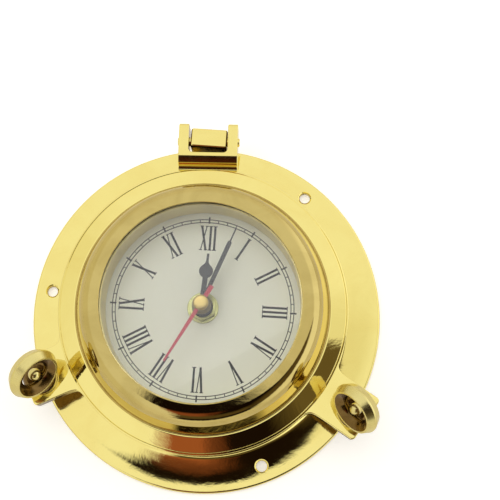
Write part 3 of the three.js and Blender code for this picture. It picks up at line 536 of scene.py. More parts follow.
board_green = plain_finish("board_green", (0.015, 0.11, 0.035), (0.025, 0.15, 0.05), 0.25, 0.4, 150)
print("finishes:", len(bpy.data.materials))

# %% [markdown]
# The hour and minute hands are dark lacquered sheet with a brass bush pressed into the hub. Lacquer and bush
# belong to one piece, so one material tells them apart by the distance from the axis.

# %% Hand finish
HAND_BUSH = 0.0042
BUSH_EDGE = 0.0001
BUSH_BRASS = (0.24, 0.2, 0.085)


def bushed(finish):
    tree = finish.node_tree
    shader = tree.nodes["Principled BSDF"]
    where = place(tree, "ShaderNodeTexCoord").outputs["Object"]
    parts = place(tree, "ShaderNodeSeparateXYZ", {0: where}).outputs
    flat = place(tree, "ShaderNodeCombineXYZ", {"X": parts["X"], "Y": parts["Y"]}).outputs[0]
    reach = place(tree, "ShaderNodeVectorMath", {0: flat}, operation="LENGTH").outputs["Value"]
    bush = falls(tree, reach, HAND_BUSH, HAND_BUSH + BUSH_EDGE)
    lacquer = shader.inputs["Base Color"].links[0].from_socket
    feed(tree, shader, {"Base Color": mixed(tree, bush, lacquer, opaque(BUSH_BRASS))})
    return finish


hand_grey = bushed(plain_finish("hand_grey", (0.013, 0.014, 0.012), (0.022, 0.023, 0.02), 0.35, 0.5, 300))
print("bush out to", HAND_BUSH / MM, "mm")

# %% [markdown]
# Glass bends light, and a lamp's light through it would show as slow, noisy sparkles. So the glass is a clear
# Principled surface for all rays but one kind: shadow rays, picked out by Light Path, pass straight through.

# %% Glass
FILM_SCALE = 40
FILM_VEIL = 0.3
FILM_TINT = (0.96, 0.98, 0.97)
FILM_ROUGHNESS = 0.02
GLASS_IOR = 1.46
GLASS_GLOSS = 0.1


def glass_finish():
    finish, tree, shader, where = new_finish("clear_glass")
    film = marks(tree, BUFFING, where, FILM_SCALE)
    veil = product(tree, film["Haze"], FILM_VEIL)
    feed(tree, shader, {
        "Base Color": mixed(tree, veil, opaque((1, 1, 1)), opaque(FILM_TINT)),
        "Roughness": ranged(tree, film["Haze"], 0.0, 1.0, 0.0, FILM_ROUGHNESS),
    })
    shader.inputs["Transmission Weight"].default_value = 1.0
    shader.inputs["IOR"].default_value = GLASS_IOR
    shader.inputs["Specular IOR Level"].default_value = GLASS_GLOSS
    shadow_ray = place(tree, "ShaderNodeLightPath").outputs["Is Shadow Ray"]
    clear = place(tree, "ShaderNodeBsdfTransparent").outputs[0]
    split = place(tree, "ShaderNodeMixShader", {0: shadow_ray, 1: shader.outputs[0], 2: clear})
    tree.links.new(split.outputs[0], tree.nodes["Material Output"].inputs["Surface"])
    return finish


clear_glass = glass_finish()
print("glass bends light by", GLASS_IOR)

# %% [markdown]
# ## Base casting
# The flange is cast, turned and buffed: a thin rounded rim, a dished face and a cove that sweeps up to the
# seat. One lathe profile makes it, with curves where the buffing wheel has softened the corners. The screw
# holes are cut as real holes with countersunk mouths, so the floor shows through them.

# %% Flange, seat and spigot
FLANGE_RADIUS = 75
RIM = 2.4
RIM_ROUND, FOOT_ROUND, EDGE_ROUND = 0.9, 0.4, 0.3
DISH_LEAD, DISH_TRAIL = (69.6, 2.55), (4.2, -1.12)
SEAT_RADIUS, SEAT = 59, 10.2
COVE, COVE_HEIGHT = 3.2, 7.4
CAVITY_RADIUS = 56.5
SPIGOT_RADIUS, SPIGOT_BORE, SPIGOT_TOP = 52.33, 46.83, 21.4
SHELF = 7.7


def flange_profile():
    cove = arc((SEAT_RADIUS + COVE, COVE_HEIGHT), COVE, -105, -180, 14)
    foot = cove[0]
    trail = (foot[0] + DISH_TRAIL[0], foot[1] + DISH_TRAIL[1])
    dish = flow((FLANGE_RADIUS - RIM_ROUND, RIM), DISH_LEAD, trail, foot, 24)
    return [
        (CAVITY_RADIUS, 0),
        *bottom_round(FLANGE_RADIUS, 0, FOOT_ROUND, 5),
        *top_round(FLANGE_RADIUS, RIM, RIM_ROUND, 8),
        *dish[1:],
        *cove[1:],
        *top_round(SEAT_RADIUS, SEAT, EDGE_ROUND, 4),
        (SPIGOT_RADIUS, SEAT),
        *top_round(SPIGOT_RADIUS, SPIGOT_TOP, EDGE_ROUND, 4),
        (SPIGOT_BORE, SPIGOT_TOP),
        (SPIGOT_BORE, SHELF),
        (CAVITY_RADIUS, SHELF),
    ]


flange = lathe("base_casting_polished", flange_profile())
print("flange faces:", len(flange.data.polygons))

# %% Screw holes
SCREW_CIRCLE = 68
SCREW_BEARINGS = (38, 158, 278)
COUNTERSINK = [(2.3, 2.1), (2.45, 2.35), (2.95, 2.8), (3.0, 3.2)]
SCREW_CUT = (-3, 8)


def screw_hole(bearing):
    hole, mouth = COUNTERSINK[0][0], COUNTERSINK[-1][0]
    low, high = SCREW_CUT
    profile = [(0, low), (hole, low), *COUNTERSINK, (mouth, high), (0, high)]
    return lathe(f"screw_hole_{bearing}", profile, 64, moved(*polar(SCREW_CIRCLE, bearing), 0))


smooth(carve(flange, [screw_hole(bearing) for bearing in SCREW_BEARINGS]))
print("flange faces with holes:", len(flange.data.polygons))

# %% [markdown]
# The knuckle of the hinge is a block on the flange with well rounded edges, standing a little askew. Its near
# side, facing the ears, takes a second finish: a very dark brass as painted shade.
# Two bosses take the ends of the eye screws. All are gathered into the flange's mesh, as one casting.

# %% Knuckle and bosses
HINGE_Y, HINGE_Z = 72, 23
KNUCKLE_HALF = (7.75, 4.1)
KNUCKLE_SHIFT = (0.25, 0.5)
KNUCKLE_TOP = 27.5
KNUCKLE_TURN_DEG = 3
KNUCKLE_ROUND = 1.0
FACES_NEAR = -0.6
BOSS_RADIUS, BOSS_TOP, BOSS_ROUND = 5.85, 7.0, 0.5
BOSS_BORE, BOSS_MOUTH, BOSS_CHAMFER, BOSS_FLOOR = 3.25, 3.6, 0.4, 3.6
DOGS = {
    "right": {"bearing": 123.2, "radius": 74.4, "heading": 232},
    "left": {"bearing": 245.2, "radius": 71.9, "heading": 128},
}


def stood(dog, z=0):
    return moved(*polar(dog["radius"], dog["bearing"]), z)


def knuckle():
    half_x, half_y = KNUCKLE_HALF
    corners = [(-half_x, -half_y), (half_x, -half_y), (half_x, half_y), (-half_x, half_y)]
    askew = moved(KNUCKLE_SHIFT[0], HINGE_Y + KNUCKLE_SHIFT[1], 0) @ turned(KNUCKLE_TURN_DEG)
    block = round_edges(slab("knuckle", corners, RIM / 2, KNUCKLE_TOP, askew), KNUCKLE_ROUND, 5)
    # The near side is marked for the painted shade.
    return mark_faces(block, lambda face: face.normal.y < FACES_NEAR)


def boss(dog):
    profile = [
        (BOSS_BORE, BOSS_FLOOR),
        (BOSS_BORE, BOSS_TOP - BOSS_CHAMFER),
        (BOSS_MOUTH, BOSS_TOP),
        *reversed(top_round(BOSS_RADIUS, BOSS_TOP, BOSS_ROUND, 5)),
        (BOSS_RADIUS, 0),
        (0, 0),
        (0, BOSS_FLOOR),
    ]
    return lathe("boss", profile, 64, stood(dog))


gather(flange, knuckle(), *(boss(dog) for dog in DOGS.values()))
keep(flange, (polished_brass, recess_shade_brass), "base", "polished_brass", "base_casting")

# %% [markdown]
# The hinge pin is a short turned rod with rounded ends. It is made upright and then laid along the hinge.

# %% Hinge pin
PIN_RADIUS = 1.8
PIN_HALF = 13.2
PIN_ROUND = 0.45
pin_profile = rounded_disc(PIN_RADIUS, -PIN_HALF, PIN_HALF, PIN_ROUND, 5)
along_hinge = moved(0, HINGE_Y, HINGE_Z) @ Matrix.Rotation(math.pi / 2, 4, "Y")
pin = lathe("hinge_pin_polished", pin_profile, 48, along_hinge)
keep(pin, polished_brass, "base", "polished_brass", "hinge_pin")

# %% [markdown]
# ## Front ring
# The front ring is turned too: a skirt, an edge with a fine line inside it, a coned face, a small groove at
# the foot of the dome, the dome itself and a nearly flat lip over the glass. The side of the dome is a steep
# cone, and a broad shoulder rolls over from it to the lip. The dome takes a darker brass than the face, as
# painted shade.

# %% Turned ring
DOOR_RADIUS, DOOR_BORE, DOOR_BOTTOM, DOOR_EDGE, DOOR_WALL = 60.1, 57.6, 10.5, 24.4, 2.5
SKIRT_ROUND = 0.4
BEAD, BEAD_DROP, BEAD_DEG = 0.35, 0.25, 72
FACE_SLOPE = 2.9 / 8.3
FACE_INNER = 53.0
LINE_RADIUS, LINE_HALF, LINE_DEPTH = 59.2, 0.2, 0.16
GROOVE_EDGE, GROOVE_LEAD, GROOVE_TRAIL = 52.7, (52.4, 26.6), (52.1, 26.6)
DOME_FOOT = (51.9, 27.2)
SHOULDER, SHOULDER_LEAD, SHOULDER_TRAIL = (49.3, 36.3), (48.35, 39.6), (45.4, 41.0)
LIP_OUTER = (44.1, 41.19)
LIP_RADIUS, LIP_TOP, LIP_FLAT, LIP_ROUND = 40.6, 41.66, 40.95, 0.25
GLASS_TOP = 40.55
REBATE_RADIUS, REBATE_BOTTOM, REBATE_PLAY = 43.2, 35.5, 0.05
DOME_INSIDE = ((45.8, 35.2), (48.0, 34.0), (49.2, 31.0), (49.3, 27.2))


def face_at(radius):
    return DOOR_EDGE + (DOOR_RADIUS - radius) * FACE_SLOPE


def fine_line():
    outer, inner = LINE_RADIUS + LINE_HALF, LINE_RADIUS - LINE_HALF
    bottom = face_at(LINE_RADIUS) - LINE_DEPTH
    return [(outer, face_at(outer)), (LINE_RADIUS, bottom), (inner, face_at(inner))]


def ring_profile():
    groove_edge = (GROOVE_EDGE, face_at(GROOVE_EDGE))
    rebate_top = GLASS_TOP + REBATE_PLAY
    inner, inner_foot = DOME_INSIDE[-1]
    return [
        (DOOR_BORE, DOOR_BOTTOM),
        *bottom_round(DOOR_RADIUS, DOOR_BOTTOM, SKIRT_ROUND, 4),
        *arc((DOOR_RADIUS - BEAD, DOOR_EDGE - BEAD_DROP), BEAD, 0, BEAD_DEG, 6),
        *fine_line(),
        (FACE_INNER, face_at(FACE_INNER)),
        *flow(groove_edge, GROOVE_LEAD, GROOVE_TRAIL, DOME_FOOT, 8)[1:],
        *flow(SHOULDER, SHOULDER_LEAD, SHOULDER_TRAIL, LIP_OUTER, 36),
        (LIP_FLAT, LIP_TOP),
        *arc((LIP_RADIUS + LIP_ROUND, LIP_TOP - LIP_ROUND), LIP_ROUND, 90, 180, 5),
        (LIP_RADIUS, rebate_top),
        (REBATE_RADIUS, rebate_top),
        (REBATE_RADIUS, REBATE_BOTTOM),
        *flow(*DOME_INSIDE, 10),
        (inner, inner_foot - DOOR_WALL),
        (DOOR_BORE, DOOR_EDGE - DOOR_WALL),
    ]


front = lathe("front_ring_polished", ring_profile())
print("front ring faces:", len(front.data.polygons))

# %% Darker dome, painted shade
DOME_ABOVE, DOME_WITHIN = 26.4, 52.75
BEZEL = 2


def on_dome(face):
    return face.center.z > DOME_ABOVE * MM and face.center.xy.length < DOME_WITHIN * MM


# The dome's faces take the darker brass, painted shade.
mark_faces(front, on_dome, BEZEL)
print("dome faces:", sum(face.material_index == BEZEL for face in front.data.polygons))

# %% [markdown]
# The lugs are flat slabs with a sweep at each root where they grow out of the ring. Each is an outline drawn
# in plan, pulled up to its thickness, with its edges rounded over, and with a hole for the rod. Their sides
# and undersides take the very dark brass as painted shade.

# %% Lugs
LUG_HALF = 10
LUG_SWEEP = 5
LUG_OVERHANG = 6.5
LUG_BOTTOM = 18.5
LUG_CORNER = 1.7
LUG_EDGE = 0.55
LUG_CUT = (10, 30)
ROOT = DOOR_RADIUS - 1.25
ROOT_STEPS = 12
ROD_HOLE = 2.8
UPRIGHT = 0.3


def lug_outline(tip):
    inner_half = LUG_HALF + LUG_SWEEP
    shoulder = math.sqrt(DOOR_RADIUS ** 2 - inner_half ** 2)
    bend = (LUG_HALF, shoulder + LUG_SWEEP / 3)
    side = bent((inner_half, shoulder), bend, (LUG_HALF, shoulder + 2 * LUG_SWEEP), 12)
    right = [*side, *top_round(LUG_HALF, tip, LUG_CORNER, 6)]
    span = math.degrees(math.asin(inner_half / ROOT))
    inside = [polar(ROOT, -span + 2 * span * i / ROOT_STEPS) for i in range(ROOT_STEPS + 1)]
    return right + [(-x, y) for x, y in reversed(right)] + inside


def lug(dog):
    outline = lug_outline(dog["radius"] + LUG_OVERHANG)
    block = slab("lug", outline, LUG_BOTTOM, DOOR_EDGE, turned(dog["bearing"]))
    hole = plug("rod_hole", ROD_HOLE, *LUG_CUT, 48, stood(dog))
    rounded = round_edges(carve(block, [hole]), LUG_EDGE, 4)
    # Sides and undersides are marked for the painted shade.
    return mark_faces(rounded, lambda face: face.normal.z < UPRIGHT)


lugs = [lug(dog) for dog in DOGS.values()]
print("lugs:", len(lugs))

# %% [markdown]
# The clevis has two ears on a web whose front leans back from the face up to a bar. Its side view is the
# outline that gets pulled across, and a rounded slot is cut for the knuckle, with a hole for the pin. The
# slot and the hollow of the brow take the very dark brass as painted shade.

# %% Clevis shape
EAR_OUTER, EAR_INNER = 12.5, 8.3
EAR_TOP, EAR_BOTTOM = HINGE_Z + 5.2, HINGE_Z - 6.5
EAR_TIP = HINGE_Y + 7
EAR_ROUND = 2.2
WEB_Y = HINGE_Y - 6
BROW = ((WEB_Y - 0.8, 0), (64.0, 0.1), (62.6, 0.75), (61.7, 1.15))
WEB_FOOT = ((61.5, EAR_TOP - 1.5), (60.9, 25.4), (60.4, 24.7), (ROOT, DOOR_EDGE + 0.2))
SLOT_ROUND = 1.9
CUT_PAST = 5


def clevis_side():
    return [
        (ROOT, EAR_BOTTOM),
        *bottom_round(EAR_TIP, EAR_BOTTOM, EAR_ROUND, 8),
        *top_round(EAR_TIP, EAR_TOP, EAR_ROUND, 8),
        *flow(*((y, EAR_TOP - drop) for y, drop in BROW), 10),
        *flow(*WEB_FOOT, 8),
    ]


def slot_outline():
    reach = EAR_INNER - SLOT_ROUND
    return [
        (EAR_INNER, EAR_TIP + CUT_PAST),
        (-EAR_INNER, EAR_TIP + CUT_PAST),
        *arc((-reach, WEB_Y + SLOT_ROUND), SLOT_ROUND, 180, 270, 6),
        *arc((reach, WEB_Y + SLOT_ROUND), SLOT_ROUND, 270, 360, 6),
    ]


print("clevis outline points:", len(clevis_side()))

# %% Clevis
CLEVIS_EDGE = 0.5
PIN_PLAY = 0.3
PIN_CUT = 20
SLOT_MARGIN = 0.2
BROW_LEAN, BROW_RISE = -0.2, 0.75
ACROSS = Matrix(((0, 0, 1, 0), (1, 0, 0, 0), (0, 1, 0, 0), (0, 0, 0, 1)))


def in_slot(face):
    between = abs(face.center.x) < (EAR_INNER + SLOT_MARGIN) * MM
    return between and face.center.y > (WEB_Y - SLOT_MARGIN) * MM and abs(face.normal.z) < UPRIGHT


def on_brow(face):
    return face.normal.y < BROW_LEAN and face.normal.z > BROW_RISE


def clevis():
    bar = slab("clevis", clevis_side(), -EAR_OUTER, EAR_OUTER, ACROSS)
    slot = slab("clevis_slot", slot_outline(), EAR_BOTTOM - CUT_PAST, EAR_TOP + CUT_PAST)
    hole = plug("pin_hole", PIN_RADIUS + PIN_PLAY, -PIN_CUT, PIN_CUT, 48, along_hinge)
    rounded = round_edges(carve(bar, [slot, hole]), CLEVIS_EDGE, 4)
    # The slot and the brow are marked for the painted shade.
    return mark_faces(rounded, lambda face: in_slot(face) or on_brow(face))


gather(front, *lugs, clevis())
keep(front, (polished_brass, recess_shade_brass, bezel_shade_brass), "door", "polished_brass", "front_ring")

# %% [markdown]
# ## Glass and sleeve
# The sleeve stands behind the glass and is the brass wall that shows round the dial. It is turned and left
# satin. The glass is a flat disc with its edge just broken. Both are lathe profiles, so they fit the ring.

# %% Sleeve and glass
SLEEVE_BORE, SLEEVE_BOTTOM, SLEEVE_TOP = 40.2, 24.0, 38.5
SLEEVE_ROUND = 0.4
GLASS_RADIUS, GLASS_BOTTOM = 42.9, 39.05
GLASS_ROUND = 0.2
sleeve_profile = [
    *arc((SLEEVE_BORE + SLEEVE_ROUND, SLEEVE_BOTTOM + SLEEVE_ROUND), SLEEVE_ROUND, 180, 270, 4),
    (GLASS_RADIUS, SLEEVE_BOTTOM),
    (GLASS_RADIUS, SLEEVE_TOP),
    *arc((SLEEVE_BORE + SLEEVE_ROUND, SLEEVE_TOP - SLEEVE_ROUND), SLEEVE_ROUND, 90, 180, 4),
]
glass_profile = rounded_disc(GLASS_RADIUS, GLASS_BOTTOM, GLASS_TOP, GLASS_ROUND, 3)
keep(lathe("glass_sleeve_satin", sleeve_profile), satin_brass, "door", "satin_brass", "glass_sleeve")
keep(lathe("front_glass_clear", glass_profile), clear_glass, "door", "clear_glass", "front_glass")

# %% [markdown]
# ## Eye screws
# Each eye is a ring, flared at both mouths, on a hub that sits on the lug. It is turned like a bead and then
# leaned and swung to the way it stopped when it was tightened. Its outside is cut to a ridge, and its inside
# and the top of its hub take the very dark brass as painted shade.

# %% Eyes
EYE_Z = 38.9
EYE_CANT_DEG = 23
EYE_WAIST, EYE_MOUTH, EYE_HALF, EYE_OUTER = 5.5, 8.6, 3.2, 10.9
EYE_STEPS = 16
EYE_REACH = 0.97
RIM_CORNERS = ((9.2, 3.2), (9.45, 3.2), (9.55, 2.92))
RIDGE_CORNERS = ((10.75, 0.64), (EYE_OUTER, 0.4), (EYE_OUTER, 0.05))
MOUTH_RIM = 0.2
HUB_RADIUS, HUB_BOTTOM, HUB_TOP, HUB_ROUND = 6.9, 24.7, 30.9, 0.5
HUB_SIDE = ((6.9, 26.4), (6.9, 28.8), (5.8, 30.0), (4.6, HUB_TOP))
HUB_DARK = 27.2
BORE_BOTTOM = 20


def eye_profile():
    inside = []
    for i in range(EYE_STEPS + 1):
        z = EYE_HALF * (2 * i / EYE_STEPS - 1) * EYE_REACH
        inside.append((EYE_WAIST + (EYE_MOUTH - EYE_WAIST) * (z / EYE_HALF) ** 2, z))
    mouth = bent(inside[-1], (EYE_MOUTH, EYE_HALF), (EYE_MOUTH + MOUTH_RIM, EYE_HALF), 4)[1:]
    upper = [*mouth, *bent(*RIM_CORNERS, 4), *bent(*RIDGE_CORNERS, 4)]
    return [*inside, *upper, *((r, -z) for r, z in reversed(upper))]


def eye_ring(side, dog):
    swing = Matrix.Rotation(math.pi - math.radians(dog["heading"]), 4, "Z")
    lean = Matrix.Rotation(math.radians(90 - EYE_CANT_DEG), 4, "X")
    name = f"dog_eye_{side}_polished"
    ring = new_piece(name, lathe_mesh(name, eye_profile(), 128))
    for finish in (eye_brass, recess_shade_brass):
        ring.data.materials.append(finish)
    # The inside of the ring is marked for the painted shade.
    mark_faces(ring, lambda face: face.center.xy.length < EYE_MOUTH * MM)
    ring.data.transform(stood(dog, EYE_Z) @ swing @ lean)
    return smooth(carve(ring, [plug("rod_bore", ROD_HOLE, BORE_BOTTOM, EYE_Z, 48, stood(dog))]))


def eye_hub(dog):
    profile = [
        (ROD_HOLE, HUB_BOTTOM),
        *bottom_round(HUB_RADIUS, HUB_BOTTOM, HUB_ROUND, 5),
        *flow(*HUB_SIDE, 12),
        (ROD_HOLE, HUB_TOP),
    ]
    # The top of the hub is marked for the painted shade.
    return mark_faces(lathe("hub", profile, 96, stood(dog)), lambda face: face.center.z > HUB_DARK * MM)


print("points in the section of an eye:", len(eye_profile()))

# %% [markdown]
# The rod is a turned bar with a chamfered foot. Its rounded end shows inside the eye. Each side of the clock
# gets an eye and then its rod.

# %% Eyes on their rods
ROD_RADIUS, ROD_BOTTOM, ROD_TOP = 2.5, 3.9, 38.9
ROD_CHAMFER = 0.75
rod_profile = [
    (0, ROD_BOTTOM),
    (ROD_RADIUS - ROD_CHAMFER, ROD_BOTTOM),
    (ROD_RADIUS, ROD_BOTTOM + ROD_CHAMFER),
    *arc((0, ROD_TOP - ROD_RADIUS), ROD_RADIUS, 0, 90, 14)[:-1],
    (0, ROD_TOP),
]
for side, dog in DOGS.items():
    eye = gather(eye_ring(side, dog), eye_hub(dog))
    keep(eye, (eye_brass, recess_shade_brass), f"dog_eye_{side}_body", "polished_brass", f"dog_eye_{side}")
    rod = lathe(f"dog_rod_{side}_polished", rod_profile, 64, stood(dog))
    keep(rod, eye_brass, f"dog_rod_{side}_body", "polished_brass", f"dog_rod_{side}")

# %% [markdown]
# ## Dial
# The dial is a printed card, turned a little clockwise from the hinge as it was fitted. The ink is a layer as
# thin as paint, laid on as flat shapes. The minute marks repeat, so Geometry Nodes set them round a circle,
# with their count and size as inputs of the tree.

# %% Tree of marks
MARK_SOCKETS = {
    "Count": "Int", "Radius": "Float", "Length": "Float", "Width": "Float", "Height": "Float",
    "Finish": "Material",
}


def mark_tree():
    tree = bpy.data.node_groups.new("marks_round_a_circle", "GeometryNodeTree")
    open_sockets(tree, "OUTPUT", {"Geometry": "Geometry"})
    open_sockets(tree, "INPUT", MARK_SOCKETS)
    given = place(tree, "NodeGroupInput").outputs
    circle = place(tree, "GeometryNodeMeshCircle", {"Vertices": given["Count"], "Radius": given["Radius"]})
    sides = {"X": given["Length"], "Y": given["Width"], "Z": given["Height"]}
    size = place(tree, "ShaderNodeCombineXYZ", sides).outputs[0]
    stroke = place(tree, "GeometryNodeMeshCube", {"Size": size})
    outward = place(tree, "FunctionNodeAlignRotationToVector", {
        "Vector": place(tree, "GeometryNodeInputPosition").outputs[0],
    }, axis="X")
    copies = place(tree, "GeometryNodeInstanceOnPoints", {
        "Points": circle.outputs["Mesh"],
        "Instance": stroke.outputs["Mesh"],
        "Rotation": outward.outputs[0],
    })
    real = place(tree, "GeometryNodeRealizeInstances", {0: copies.outputs[0]}).outputs[0]
    inked = place(tree, "GeometryNodeSetMaterial", {"Geometry": real, "Material": given["Finish"]})
    place(tree, "NodeGroupOutput", {"Geometry": inked.outputs[0]})
    return tree


MARKS = mark_tree()
print("tree inputs:", [socket.name for socket in MARKS.interface.items_tree if socket.in_out == "INPUT"])

# %% Card and track
DIAL_TURN_DEG = 2.3
DIAL_FACE = 23.4
CARD_RADIUS, CARD_THICKNESS = 46.2, 0.4
BUSH_HOLE = 4.3
INK_BOTTOM, INK_TOP = DIAL_FACE + 0.002, DIAL_FACE + 0.02
TRACK_INNER, TRACK_OUTER, TRACK_LINE = 36.35, 37.6, 0.36
HOUR_MARK = (36.0, 38.7, 0.64)
MINUTE_MARK = (TRACK_INNER, TRACK_OUTER, 0.34)


def marks_round(name, count, inner, outer, width):
    piece = new_piece(name, bpy.data.meshes.new(name))
    step = piece.modifiers.new("marks", "NODES")
    step.node_group = MARKS
    values = {
        "Count": count, "Radius": (inner + outer) / 2 * MM, "Length": (outer - inner) * MM,
        "Width": width * MM, "Height": (INK_TOP - INK_BOTTOM) * MM, "Finish": dial_ink,
    }
    for socket in MARKS.interface.items_tree:
        if socket.in_out == "INPUT":
            step[socket.identifier] = values[socket.name]
    settle(piece)
    piece.data.transform(turned(DIAL_TURN_DEG) @ moved(0, 0, (INK_TOP + INK_BOTTOM) / 2))
    return piece


def washer_shape(inner, outer, bottom, top):
    return [(inner, bottom), (outer, bottom), (outer, top), (inner, top)]


def ink_ring(name, radius):
    half = TRACK_LINE / 2
    return lathe(name, washer_shape(radius - half, radius + half, INK_BOTTOM, INK_TOP))


card_profile = washer_shape(BUSH_HOLE, CARD_RADIUS, DIAL_FACE - CARD_THICKNESS, DIAL_FACE)
keep(lathe("dial_card_printed", card_profile), dial_paper, "base", "dial_white", "dial_card")
track = gather(
    ink_ring("minute_track", TRACK_INNER),
    ink_ring("outer_line", TRACK_OUTER),
    marks_round("minute_marks", 60, *MINUTE_MARK),
    marks_round("hour_marks", 12, *HOUR_MARK),
)
keep(track, dial_ink, "base", "hand_grey")

# %% [markdown]
# The numerals are tall and narrow, set with their feet to the centre. The font at hand has no such narrow
# letters, but each one is only a few strokes: a thick stem, a hairline and thin serifs. So a stroke is a thin
# bar from one point to another, and a letter a list of them, with 0 for its foot and 1 for its top.

# %% Letters
LETTER_HEIGHT = 10.5
LETTER_FOOT = 24.45
STEM, HAIR, SERIF = 0.9, 0.42, 0.36
ADVANCE = {"I": 1.85, "V": 3.5, "X": 3.65}
STEMS = {
    "I": [(0.92, 0, 0.92, 1, STEM)],
    "V": [(0.8, 1, 1.82, 0, STEM), (2.8, 1, 1.82, 0, HAIR)],
    "X": [(0.75, 1, 2.9, 0, STEM), (2.9, 1, 0.75, 0, HAIR)],
}
SERIFS = {
    "I": [(0.08, 1.77, 0), (0.08, 1.77, 1)],
    "V": [(0.05, 1.55, 1), (2.15, 3.45, 1)],
    "X": [(0.05, 1.5, 1), (2.25, 3.55, 1), (0.1, 1.4, 0), (2.15, 3.6, 0)],
}


def letter_strokes(letter):
    strokes = []
    for x0, y0, x1, y1, width in STEMS[letter]:
        strokes.append(((x0, y0 * LETTER_HEIGHT), (x1, y1 * LETTER_HEIGHT), width))
    for left, right, end in SERIFS[letter]:
        height = LETTER_HEIGHT - SERIF / 2 if end else SERIF / 2
        strokes.append(((left, height), (right, height), SERIF))
    return strokes


print("strokes:", {letter: len(letter_strokes(letter)) for letter in ADVANCE})

# %% Numerals
NUMERALS = ("XII", "I", "II", "III", "IV", "V", "VI", "VII", "VIII", "IX", "X", "XI")
HOUR_DEG = 30


def stroke_outline(start, end, width):
    along = (end - start).normalized()
    side = Vector((-along.y, along.x)) * width / 2
    return [start + side, start - side, end - side, end + side]


def numerals():
    work = bmesh.new()
    for hour, text in enumerate(NUMERALS):
        turn = turned(HOUR_DEG * hour + DIAL_TURN_DEG)
        x = -sum(ADVANCE[letter] for letter in text) / 2
        for letter in text:
            shift = Vector((x, LETTER_FOOT))
            for start, end, width in letter_strokes(letter):
                outline = stroke_outline(Vector(start) + shift, Vector(end) + shift, width)
                add_prism(work, outline, INK_BOTTOM, INK_TOP, turn)
            x += ADVANCE[letter]
    bmesh.ops.recalc_face_normals(work, faces=work.faces)
    return new_piece("numerals", drawn_mesh("numerals", work))


keep(numerals(), dial_ink, "base", "hand_grey")

# %% [markdown]
# A washer and a hexagon nut hold the movement to the dial. Both are brass. The washer has turned edges, and
# the nut's corners are chamfered by a cone, as they are on a nut cut from bar.

# %% Washer and nut
WASHER_RADIUS, WASHER_BOTTOM, WASHER_TOP, WASHER_ROUND = 6.45, 23.45, 23.95, 0.2
NUT_RADIUS, NUT_BOTTOM, NUT_TOP = 5.9, 24.0, 26.2
NUT_EDGE = 0.12
NUT_CUT = (20, 30)
CROWN_FOOT, CROWN_RADIUS, CROWN_PLAY = (9, 24.6), 5.0, 0.05
washer_profile = [
    (BUSH_HOLE, WASHER_BOTTOM),
    (WASHER_RADIUS, WASHER_BOTTOM),
    *top_round(WASHER_RADIUS, WASHER_TOP, WASHER_ROUND, 4),
    (BUSH_HOLE, WASHER_TOP),
]


def hexagon_nut():
    corners = [polar(NUT_RADIUS, 60 * i + DIAL_TURN_DEG) for i in range(6)]
    nut = slab("dial_nut_turned", corners, NUT_BOTTOM, NUT_TOP)
    low, top = NUT_CUT[0], NUT_TOP + CROWN_PLAY
    crown = [(0, low), (CROWN_FOOT[0], low), CROWN_FOOT, (CROWN_RADIUS, top), (0, top)]
    carve(nut, [lathe("nut_crown", crown, 96)], "INTERSECT")
    return round_edges(carve(nut, [plug("nut_bore", BUSH_HOLE, *NUT_CUT, 64)]), NUT_EDGE, 2)


# Washer and nut take an olive brass that paints the shade under the glass.
keep(lathe("dial_washer_turned", washer_profile, 128), olive_shade_brass, "base", "polished_brass", "dial_washer")
keep(hexagon_nut(), olive_shade_brass, "base", "polished_brass", "dial_nut")

# %% [markdown]
# ## Hands
# The hands are stamped from thin sheet, each with a round hub: a spade hour hand, a baton minute hand with a
# needle point and a slim second hand with a counterweight. One half of each outline is drawn and mirrored,
# because a stamping is even about its middle line.

# %% Hand outlines
SPADE, SPADE_AT, SPADE_END_DEG = 2.85, 13.9, 52
HOUR_WIDTH, HOUR_FLARE, HOUR_LENGTH = 2.0, 0.15, 21.2
NECK_LEAD, NECK_TRAIL, NECK_END = (0.85, 16.9), (0.55, 17.3), (0.5, 18.8)
HOUR_TIP = 0.45
MINUTE_HALF = [(0.8, 0), (0.9, 27.6), (0.75, 28.1), (0.3, 28.5), (0.26, 34.4)]
SECOND_HALF = [(0.9, -8.2), (0.88, -3.5), (0.86, 0), (0.42, 27.5)]


def both_sides(right):
    return right + [(-x, y) for x, y in reversed(right) if x > 0]


def hour_half():
    half = HOUR_WIDTH / 2
    start = math.degrees(math.asin(half / SPADE)) - 90
    bowl = arc((0, SPADE_AT), SPADE, start, SPADE_END_DEG, 18)
    neck = flow(bowl[-1], NECK_LEAD, NECK_TRAIL, NECK_END, 8)[1:]
    return [(half + HOUR_FLARE, 0), *bowl, *neck, (HOUR_TIP, HOUR_LENGTH)]


print("hour hand outline points:", len(both_sides(hour_half())))

# %% [markdown]
# Each outline is pulled to the sheet's thickness and joined to its hub, and its edges are just broken, so
# that they catch the light. The table gives each hand's outline, hub radius, height and turn on the dial, and
# then its finish, body and slot.

# %% Hands
HAND_SHEET = 0.4
HAND_EDGE, HAND_EDGE_DEG = 0.07, 50
HUB_STEPS = 72
HANDS = {
    "hour": (hour_half(), 4.0, 32.2, 3.2, hand_grey, "hours", "hand_grey"),
    "minute": (MINUTE_HALF, 3.2, 33.6, 20.3, hand_grey, "minutes", "hand_grey"),
    "second": (SECOND_HALF, 2.0, 36.4, 208.4, hand_red, "seconds", "hand_red"),
}


def hand(name, half, hub, bottom, turn_deg):
    top = bottom + HAND_SHEET
    blade = slab(name, both_sides(half), bottom, top, turned(DIAL_TURN_DEG + turn_deg))
    disc = plug("hub", hub, bottom, top, HUB_STEPS)
    return round_edges(carve(blade, [disc], "UNION"), HAND_EDGE, 2, HAND_EDGE_DEG)


for name, (half, hub, bottom, turn_deg, finish, body, slot) in HANDS.items():
    keep(hand(f"{name}_hand_stamped", half, hub, bottom, turn_deg), finish, body, slot, f"{name}_hand")

